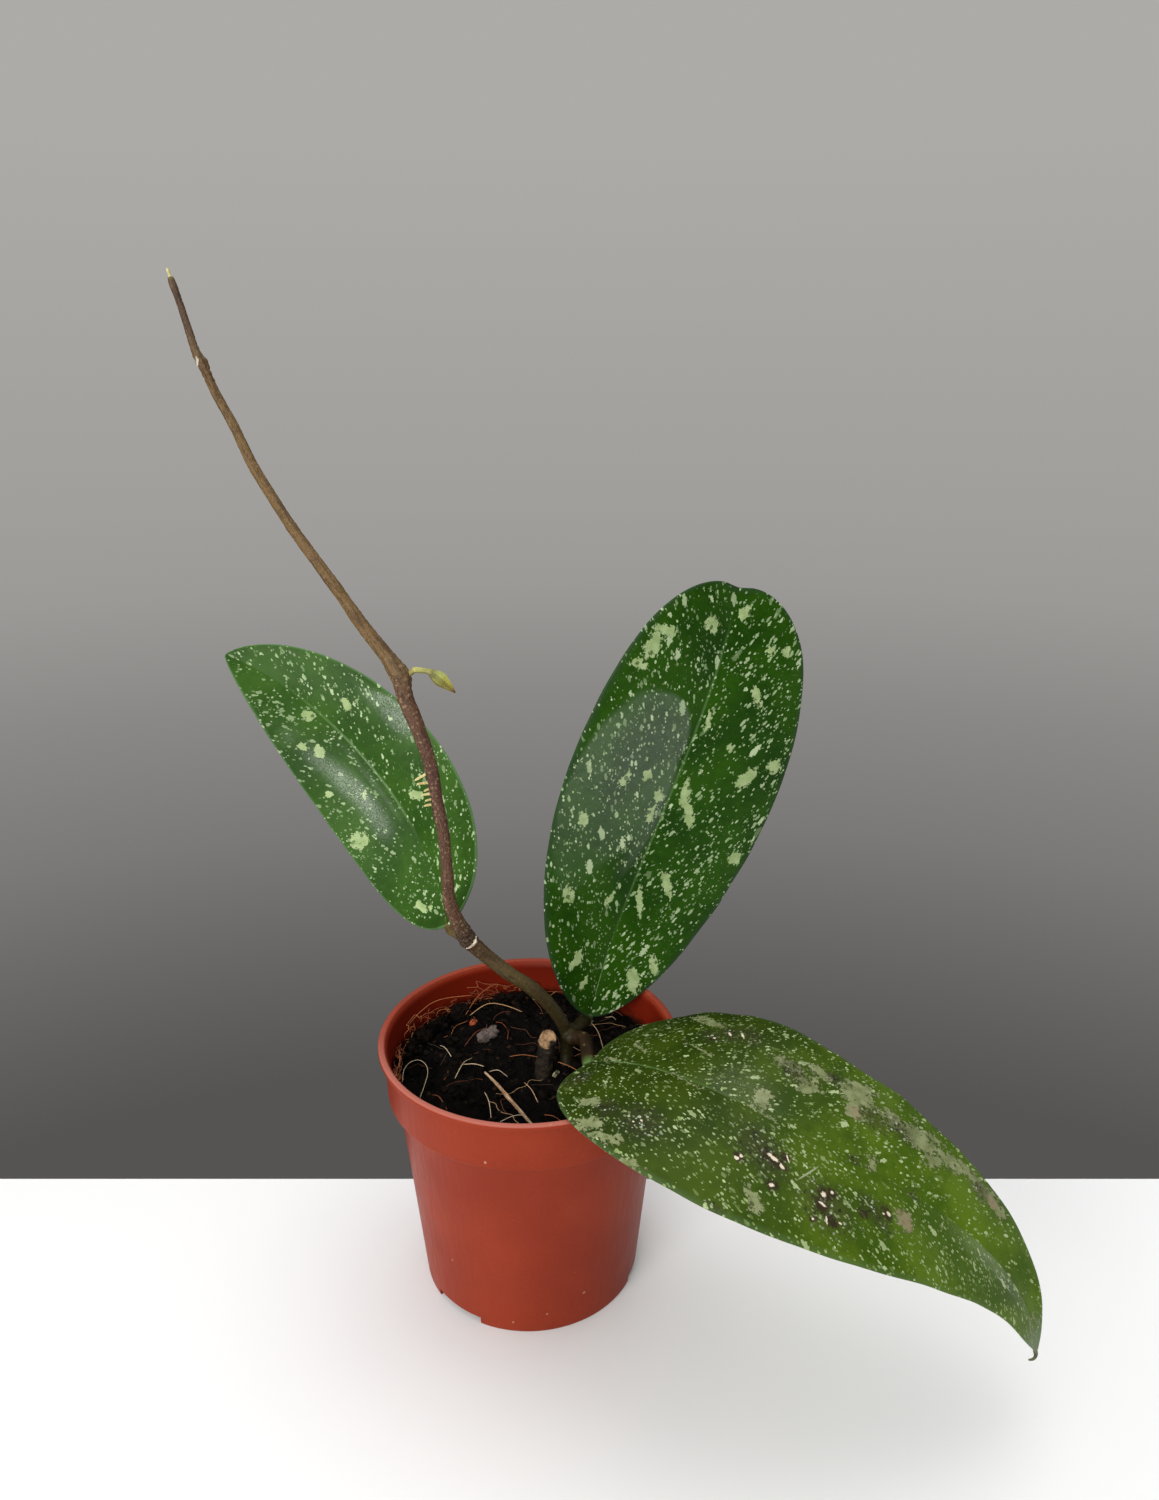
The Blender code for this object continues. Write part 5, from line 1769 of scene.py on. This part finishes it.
def off_twig(x, y):
    """How far a spot is from the line where the twig lies."""
    start, stop = Vector(TWIG_ENDS[0]), Vector(TWIG_ENDS[1])
    along = stop - start
    part = max(0.0, min(1.0, (Vector((x, y)) - start).dot(along) / along.length_squared))
    return (Vector((x, y)) - start - along * part).length


def crumbs_mesh():
    """The seeded crumbs, and then the listed clods."""
    draw = random.Random(21)
    bm = bmesh.new()
    for k in range(CRUMBS):
        size = draw.choice(CRUMB_SIZES) * draw.uniform(0.8, 1.2)
        x, y = scatter_spot(draw, SOIL_EDGE - 1.0)
        size *= 0.4 if off_twig(x, y) < TWIG_CLEARANCE else 1.0
        squash = (draw.uniform(0.7, 1.3), draw.uniform(0.6, 1.2), draw.uniform(0.45, 0.9))
        turn = Matrix.Rotation(draw.uniform(0.0, math.tau), 4, "Z")
        tilt = Matrix.Rotation(draw.uniform(-0.6, 0.6), 4, "X")
        cuts = 1 if size < COARSE_BELOW else 2
        made = bmesh.ops.create_icosphere(bm, subdivisions=cuts, radius=1.0)
        for vertex in made["verts"]:
            dent = 1.0 + 0.45 * noise.noise(vertex.co * 1.3 + Vector((k * 3.1, 0.0, 0.0)))
            place = Vector(a * b for a, b in zip(vertex.co * dent * size, squash))
            vertex.co = turn @ tilt @ place + Vector((x, y, peat_level(x, y) + 0.25 * size))
    for k, (x, y, size) in enumerate(CLODS):
        made = bmesh.ops.create_icosphere(bm, subdivisions=4, radius=1.0)
        for vertex in made["verts"]:
            broad = noise.noise(vertex.co * 1.4 + Vector((k * 5.3, 1.0, 0.0)))
            fine = noise.noise(vertex.co * 4.2 + Vector((k * 2.7, 4.0, 0.0)))
            dent = 1.0 + 0.6 * broad + 0.45 * fine
            vertex.co = vertex.co * dent * size + Vector((x, y, peat_level(x, y) + CLOD_LIFT * size))
    return to_mesh(bm, "crumbs")


crumb_peat = peat_finish("peat_crumbs", (0.01, 0.0068, 0.0048), (0.002, 0.0016, 0.0012))
place_piece("peat_crumbs", crumbs_mesh(), crumb_peat)

# %% [markdown]
# Thin roots and coconut-like fibres lie in and on the peat. The longest follow given lines, each
# with its radius and a tone from dark red to pale straw. The rest are seeded: some start anywhere
# on the peat and wander, and a red tangle creeps along the wall at the back and the left.

# %% Fibres
FIBRES = (
    (0.11, 0.55, ((-39.8, 14.8, 73.0), (-36.3, 19.4, 76.0), (-30.4, 25.4, 77.5), (-20.0, 30.0, 76.5))),
    (0.1, 0.5, ((-21.7, 25.4, 72.0), (-18.0, 32.0, 75.0), (-13.0, 37.2, 76.0), (-7.8, 39.9, 73.5))),
    (0.13, 0.72, ((-20.3, 25.0, 72.0), (-15.0, 28.6, 74.0), (-9.6, 29.7, 73.0), (-3.5, 28.8, 71.0))),
    (
        0.07, 0.95,
        (
            (-37.3, -9.4, 70.8), (-37.4, -6.0, 72.4), (-35.9, -3.2, 73.4), (-33.3, -2.3, 73.7),
            (-31.0, -3.9, 73.2), (-30.0, -7.4, 72.6), (-30.3, -12.0, 72.0), (-31.2, -16.6, 70.6),
        ),
    ),
    (0.09, 0.9, ((-17.7, 2.7, 71.0), (-19.8, -2.9, 73.0), (-21.9, -7.9, 71.0))),
    (0.09, 0.95, ((-12.5, -14.4, 71.0), (-10.7, -20.6, 72.0), (-9.5, -28.0, 71.0))),
    (0.09, 0.95, ((-7.6, -28.5, 70.8), (-4.0, -27.5, 72.2), (-1.0, -26.5, 72.0), (0.9, -26.8, 70.8))),
    (0.07, 0.95, ((-11.8, -4.3, 71.0), (-9.0, -5.6, 72.4), (-6.2, -6.4, 70.6))),
    (0.12, 0.85, ((15.2, 19.5, 73.0), (18.1, 15.4, 76.0), (21.0, 9.1, 76.5), (23.1, 3.0, 72.5))),
    (0.08, 0.6, ((9.0, -7.5, 76.6), (12.5, -8.6, 75.8), (15.5, -9.2, 74.0), (16.6, -9.4, 71.2))),
    (0.08, 0.35, ((-20.5, 8.5, 71.4), (-17.4, 13.3, 73.2), (-14.3, 19.0, 71.4))),
    (0.09, 0.75, ((-1.0, -10.2, 71.3), (1.4, -15.6, 72.6), (3.4, -19.7, 71.2))),
    (0.1, 0.5, ((5.3, -25.2, 71.1), (7.9, -26.9, 72.0), (10.3, -28.0, 71.0))),
    (0.08, 0.95, ((-28.3, 9.2, 71.2), (-26.2, 6.0, 72.4), (-23.8, 2.5, 71.2))),
    (0.09, 0.5, ((-27.7, -15.8, 71.0), (-25.3, -18.2, 72.0), (-22.6, -22.8, 71.0))),
    (0.07, 0.6, ((-6.2, 3.2, 71.2), (-1.6, 2.5, 72.3), (3.8, 2.5, 71.2))),
    (0.1, 0.9, ((-20.0, -1.5, 71.6), (-16.5, -2.4, 72.4), (-13.5, -3.4, 72.2))),
)
LOOSE_FIBRES = 60
WALL_FIBRES = 52
FIBRE_LEVEL = 8.0
FIBRE_INSET = 0.8


def wandering(draw, start, steps, lift):
    """A seeded line that wanders from a start and keeps inside the wall."""
    limit = SOIL_EDGE - FIBRE_INSET
    turn = draw.uniform(0.0, math.tau)
    x, y = start
    path = []
    for k in range(steps):
        rise = lift * math.sin(math.pi * (k + 0.5) / steps) * draw.uniform(0.5, 1.1)
        path.append((x, y, peat_level(x, y) + 0.1 + rise))
        turn += draw.uniform(-0.7, 0.7)
        x += math.cos(turn) * draw.uniform(1.6, 3.4)
        y += math.sin(turn) * draw.uniform(1.6, 3.4)
        reach = math.hypot(x, y)
        if reach > limit:
            x, y = x * limit / reach, y * limit / reach
    return path


def along_wall(draw):
    """A seeded line that creeps along the back and left of the inner wall."""
    turn = math.radians(draw.uniform(75.0, 200.0))
    z = packed_level(0.0, 0.0) + draw.uniform(0.0, FIBRE_LEVEL * 0.55)
    path = []
    for k in range(draw.randint(4, 8)):
        reach = SOIL_EDGE - draw.uniform(0.5, 3.0)
        path.append((*on_circle(turn, reach), z))
        turn += math.radians(draw.uniform(-3.0, 7.0))
        z = min(PEAT_TOP + FIBRE_LEVEL, max(PEAT_TOP, z + draw.uniform(-1.8, 1.7)))
    return path


def fibres_mesh():
    """All fibres as thin tubes with pointed ends, each with its own tone."""
    draw = random.Random(44)
    bm = bmesh.new()
    lines = [(radius, path, tone) for radius, tone, path in FIBRES]
    for k in range(LOOSE_FIBRES):
        path = wandering(
            draw, scatter_spot(draw, SOIL_EDGE - 2.0), draw.randint(3, 8), draw.uniform(0.2, 1.8),
        )
        lines.append((draw.uniform(0.04, 0.085), path, draw.random() ** 1.8))
    for k in range(WALL_FIBRES):
        lines.append((draw.uniform(0.05, 0.11), along_wall(draw), draw.uniform(0.32, 0.62)))
    for radius, path, tone in lines:
        rows = smooth([(*point, radius) for point in path], 5)
        rows[0][3] = rows[-1][3] = radius * 0.4
        sweep(bm, rows, 7, tone)
    return to_mesh(bm, "fibres")


FIBRE_TONES = (
    (0.0, (0.04, 0.026, 0.017)), (0.3, (0.16, 0.05, 0.02)), (0.42, (0.33, 0.075, 0.022)),
    (0.6, (0.5, 0.18, 0.06)), (0.8, (0.6, 0.42, 0.22)), (1.0, (0.75, 0.62, 0.42)),
)
tree, shader, dry_fibre = finish("dry_fibre", 0.65, 0.3)
shade = zone_ramp(tree, measured(tree, "tone"), FIBRE_TONES)
rub = use(tree, mottle, Place=millimetres(tree), Cloud_Scale=0.6, Grain_Scale=3.0)["Height"]
rubbed = blend(tree, step_up(tree, rub, 0.45, 0.7, 0.0, 0.6), shade, (0.12, 0.06, 0.03))
dress(tree, shader, rubbed, rub, 0.05, 0.5)
place_piece("peat_fibres", fibres_mesh(), dry_fibre)

# %% [markdown]
# ## Litter
# A tan twig, a pale flake of dead skin and a chip of bark lie on the peat. The twig is a swept tube
# that is thickest at two thirds of its length, and its grain runs along it.

# %% Twig
TWIG = ((*TWIG_ENDS[0], 0.32), (-9.5, -9.5, 0.44), (-5.6, -15.8, 0.56), (*TWIG_ENDS[1], 0.42))
REST = 0.3
TWIG_LIFT = 0.28
TWIG_TURN = math.radians(-32.0)


def twig_mesh():
    """A swept tube with lumps; each point keeps how far around the twig it is."""
    rows = [(x, y, packed_level(x, y) + REST * radius + TWIG_LIFT, radius) for x, y, radius in TWIG]
    path = []
    for row in smooth(rows, 14):
        lump = 0.14 * rough(row[0] * 0.6, row[1] * 0.6, 3.0)
        split = 0.1 * rough(row[0] * 2.2, row[1] * 2.2, 8.0)
        path.append((*row[:3], row[3] * (1.0 + lump + split)))
    bm = bmesh.new()
    layer = bm.verts.layers.float.new("around")
    for ring in sweep(bm, path, 20):
        for k, vertex in enumerate(ring):
            vertex[layer] = k / len(ring)
    return to_mesh(bm, "twig")


tree, shader, dry_wood = finish("dry_wood", 0.62, 0.35)
place = millimetres(tree)
lengthways = stretch_place(tree, turn_place(tree, place, TWIG_TURN), 1.0, 0.12, 1.0)
fibre_grain = grain(tree, lengthways, 2.6, 4.0, 0.6)
tan = mottled(tree, place, (0.56, 0.4, 0.24), (0.24, 0.13, 0.065), 0.3, 1.5)
streaks = step_up(tree, fibre_grain, 0.45, 0.62, 0.0, 0.75)
dress(tree, shader, blend(tree, streaks, tan[0], (0.2, 0.09, 0.035)), fibre_grain, 0.2, 0.7)
place_piece("twig_dry", twig_mesh(), dry_wood, ["twig"])

# %% [markdown]
# The flake, the chip and two small scraps are one shape with different numbers: a grid pulled to a
# ragged round outline, lumpy on top, thinner at its rim and cracked across. Each lies tilted.

# %% Flake, chip and scraps
FLAKE = ((-13.6, 14.9), (10.2, 6.0, 1.0), (0.12, -0.1, 0.95))
CHIP = ((-19.0, 23.2), (3.2, 2.6, 1.6), (0.2, 0.15, 0.9))
SCRAPS = (
    ((8.3, -4.6), (5.4, 1.9, 1.0), (0.5, 0.35, 1.25)), ((18.3, 25.0), (4.0, 2.0, 1.0), (0.3, 0.2, 0.3)),
)


def plate(name, spot_xy, size, turn, seed):
    """A thin broken plate: a finely cut slab with a ragged outline, worn edges and a crack."""
    bm = bmesh.new()
    bmesh.ops.create_grid(bm, x_segments=46, y_segments=34, size=0.5)
    bm.verts.ensure_lookup_table()
    for vertex in bm.verts:
        x, y = vertex.co.x * 2.0, vertex.co.y * 2.0
        square = max(abs(x), abs(y))
        scale = square / max(math.hypot(x, y), 1e-6)
        x, y = x * scale, y * scale
        angle = math.atan2(y, x)
        ragged = 0.84 + 0.3 * rough(*on_circle(angle, 1.7), seed)
        ragged += 0.1 * rough(*on_circle(angle, 6.0), seed)
        vertex.co = Vector((x * 0.5 * ragged, y * 0.5 * ragged, 0.0))
        rim = min(1.0, (1.0 - square) / 0.12)
        crack = math.exp(-(((y - 0.25 * x + 0.1 * math.sin(5.0 * x)) / 0.07) ** 2))
        lumps = 0.5 * rough(x * 2.2, y * 2.2, seed + 3.0) + 0.25 * rough(x * 6.5, y * 6.5, seed + 3.0)
        vertex.co.z = 0.5 * math.sqrt(max(0.0, rim)) * (0.85 + lumps) - 0.35 * crack * rim
    bottom = bmesh.ops.duplicate(bm, geom=bm.verts[:] + bm.edges[:] + bm.faces[:])["geom"]
    for part in bottom:
        if isinstance(part, bmesh.types.BMVert):
            part.co.z = -0.5 * min(1.0, 2.0 * max(0.0, part.co.z + 0.2))
    bmesh.ops.bridge_loops(bm, edges=[edge for edge in bm.edges if edge.is_boundary])
    place = Vector((*spot_xy, packed_level(*spot_xy) + 0.25 * size[2]))
    about_x, about_y, about_z = (Matrix.Rotation(angle, 4, letter) for angle, letter in zip(turn, "XYZ"))
    move = Matrix.Translation(place) @ (about_z @ about_y @ about_x) @ Matrix.Diagonal((*size, 1.0))
    bmesh.ops.transform(bm, matrix=move, verts=bm.verts)
    return to_mesh(bm, name)


dead_plate = two_tone(
    "dead_plate", 0.8, 0.1, (0.15, 0.115, 0.1), (0.035, 0.026, 0.022), 0.3, 1.6, 0.25, 0.7,
)
place_piece("pale_flake_plate", plate("flake", *FLAKE, 2.0), dead_plate, ["pale_flake"])

dry_scrap = two_tone("dry_scrap", 0.8, 0.1, (0.42, 0.38, 0.22), (0.1, 0.1, 0.06), 0.6, 2.2, 0.3, 0.8)
for number, scrap in enumerate(SCRAPS):
    label = "dry_scrap_" + str(number + 1)
    place_piece(label, plate(label, *scrap, 4.0 + number), dry_scrap)

orange_bark = two_tone(
    "orange_bark", 0.75, 0.25, (0.48, 0.1, 0.035), (0.16, 0.035, 0.014), 0.5, 2.4, 0.35, 0.8,
)
place_piece("bark_chip_plate", plate("chip", *CHIP, 9.0), orange_bark, ["bark_chip"])

# %% [markdown]
# ## The table and the light
# The plant stands near the back of a pale table top. Its bright top also lights the plant from
# below and is what the glossy half of the upright leaf mirrors, so it reaches far to the right.

# %% Table
TABLE_BACK = 35.0
TABLE_FRONT = -420.0
TABLE_SIDE = 540.0
TABLE_DEEP = 30.0
TABLE_ROUNDING = 1.5


def table_mesh():
    """A slab with rounded edges, whose top is at the height of the pot's foot."""
    bm = bmesh.new()
    deep = TABLE_BACK - TABLE_FRONT
    middle = (0.0, 0.5 * (TABLE_BACK + TABLE_FRONT), -0.5 * TABLE_DEEP)
    shape = Matrix.Translation(middle) @ Matrix.Diagonal((2.0 * TABLE_SIDE, deep, TABLE_DEEP, 1.0))
    bmesh.ops.create_cube(bm, size=1.0, matrix=shape)
    bmesh.ops.bevel(bm, geom=bm.edges[:], offset=TABLE_ROUNDING, segments=3, affect="EDGES")
    return to_mesh(bm, "table")


tree, shader, table_white = finish("table_white", 0.5, 0.3)
shader["Base Color"].default_value = (0.8, 0.8, 0.8, 1.0)
table_data = table_mesh()
table_data.materials.append(table_white)
table_data.shade_smooth()
table_data.set_sharp_from_angle(angle=SHARP_ANGLE)
table = add_object("table", table_data)
table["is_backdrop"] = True
print("the table reaches", TABLE_BACK, "mm behind the pot's axis")

# %% [markdown]
# The room is a world of three soft gradients. The camera sees a plain grey wall, mirror-like
# surfaces see a dim one that keeps them from looking milky, and everything else is lit by a dome
# that is brighter above and a little darker on the right. A wide low lamp in front on the left is
# the window, one above and behind is the ceiling, and a faint card fills from the right.

# %% Room and lamps
WALL_GREYS = (
    (0.05, 0.09), (0.1, 0.118), (0.23, 0.193), (0.37, 0.25), (0.51, 0.325), (0.6, 0.347), (0.78, 0.375),
    (0.95, 0.412),
)
DOME_GREYS = ((0.0, 0.04), (0.2, 0.05), (0.5, 0.8), (1.0, 1.1))
MIRROR_GREYS = ((0.0, 0.03), (0.5, 0.06), (0.8, 0.16), (1.0, 0.3))


def greys(rows, tint=(1.0, 1.0, 1.0)):
    """Turns rows of place and grey into rows of place and colour, tinted if a tint is given."""
    return [(part, tuple(grey * share for share in tint)) for part, grey in rows]


room = bpy.data.worlds.new("room")
room.use_nodes = True
scene.world = room
tree = room.node_tree
sky = tree.nodes["Background"]
direction = wire(tree, "TexCoord", output="Generated")
up = axis(tree, direction, "Z")
wall = zone_ramp(tree, step_up(tree, up, -0.7, 0.3), greys(WALL_GREYS, (1.02, 0.99, 0.955)))
leaning = calculate(tree, "SUBTRACT", up, times(tree, axis(tree, direction, "X"), 0.35))
dome = zone_ramp(tree, leaning, greys(DOME_GREYS))
mirrored = zone_ramp(tree, up, greys(MIRROR_GREYS))
seen = wire(tree, "LightPath", output="Is Camera Ray")
glossy = wire(tree, "LightPath", output="Is Glossy Ray")
lit = blend(tree, glossy, dome, mirrored)
tree.links.new(blend(tree, seen, lit, wall), sky.inputs["Color"])
sky.inputs["Strength"].default_value = 1.0


def lamp(name, place, aim, size, power, colour):
    """An area lamp of this width and height at a place, looking at an aim, in millimetres."""
    data = bpy.data.lights.new(name, "AREA")
    data.shape = "RECTANGLE"
    data.size = size[0] * MM
    data.size_y = size[1] * MM
    data.energy = power
    data.color = colour
    made = add_object(name, data)
    made.location = Vector(place) * MM
    made.rotation_euler = (Vector(place) - Vector(aim)).to_track_quat("Z", "Y").to_euler()


AIM = (10.0, 0.0, 110.0)
lamp("window", (-280.0, -630.0, 405.0), AIM, (440.0, 105.0), 3.6, (1.0, 0.99, 0.97))
lamp("card", (680.0, 120.0, 90.0), AIM, (260.0, 200.0), 0.35, (0.97, 0.98, 1.0))
lamp("ceiling", (220.0, 240.0, 950.0), AIM, (800.0, 800.0), 2.8, (1.0, 1.0, 1.0))

# %% [markdown]
# ## Sizes
# The finished plant should be as large as the imported one, so both boxes are printed, one under
# the other.

# %% Sizes and the end
new_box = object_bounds()
for label, box in (("packed", cad_box), ("visual", new_box)):
    print(label, [tuple(round(value * 1000.0, 2) for value in corner) for corner in box])
print("all pieces:", sum(made_pieces.values()), "triangles")
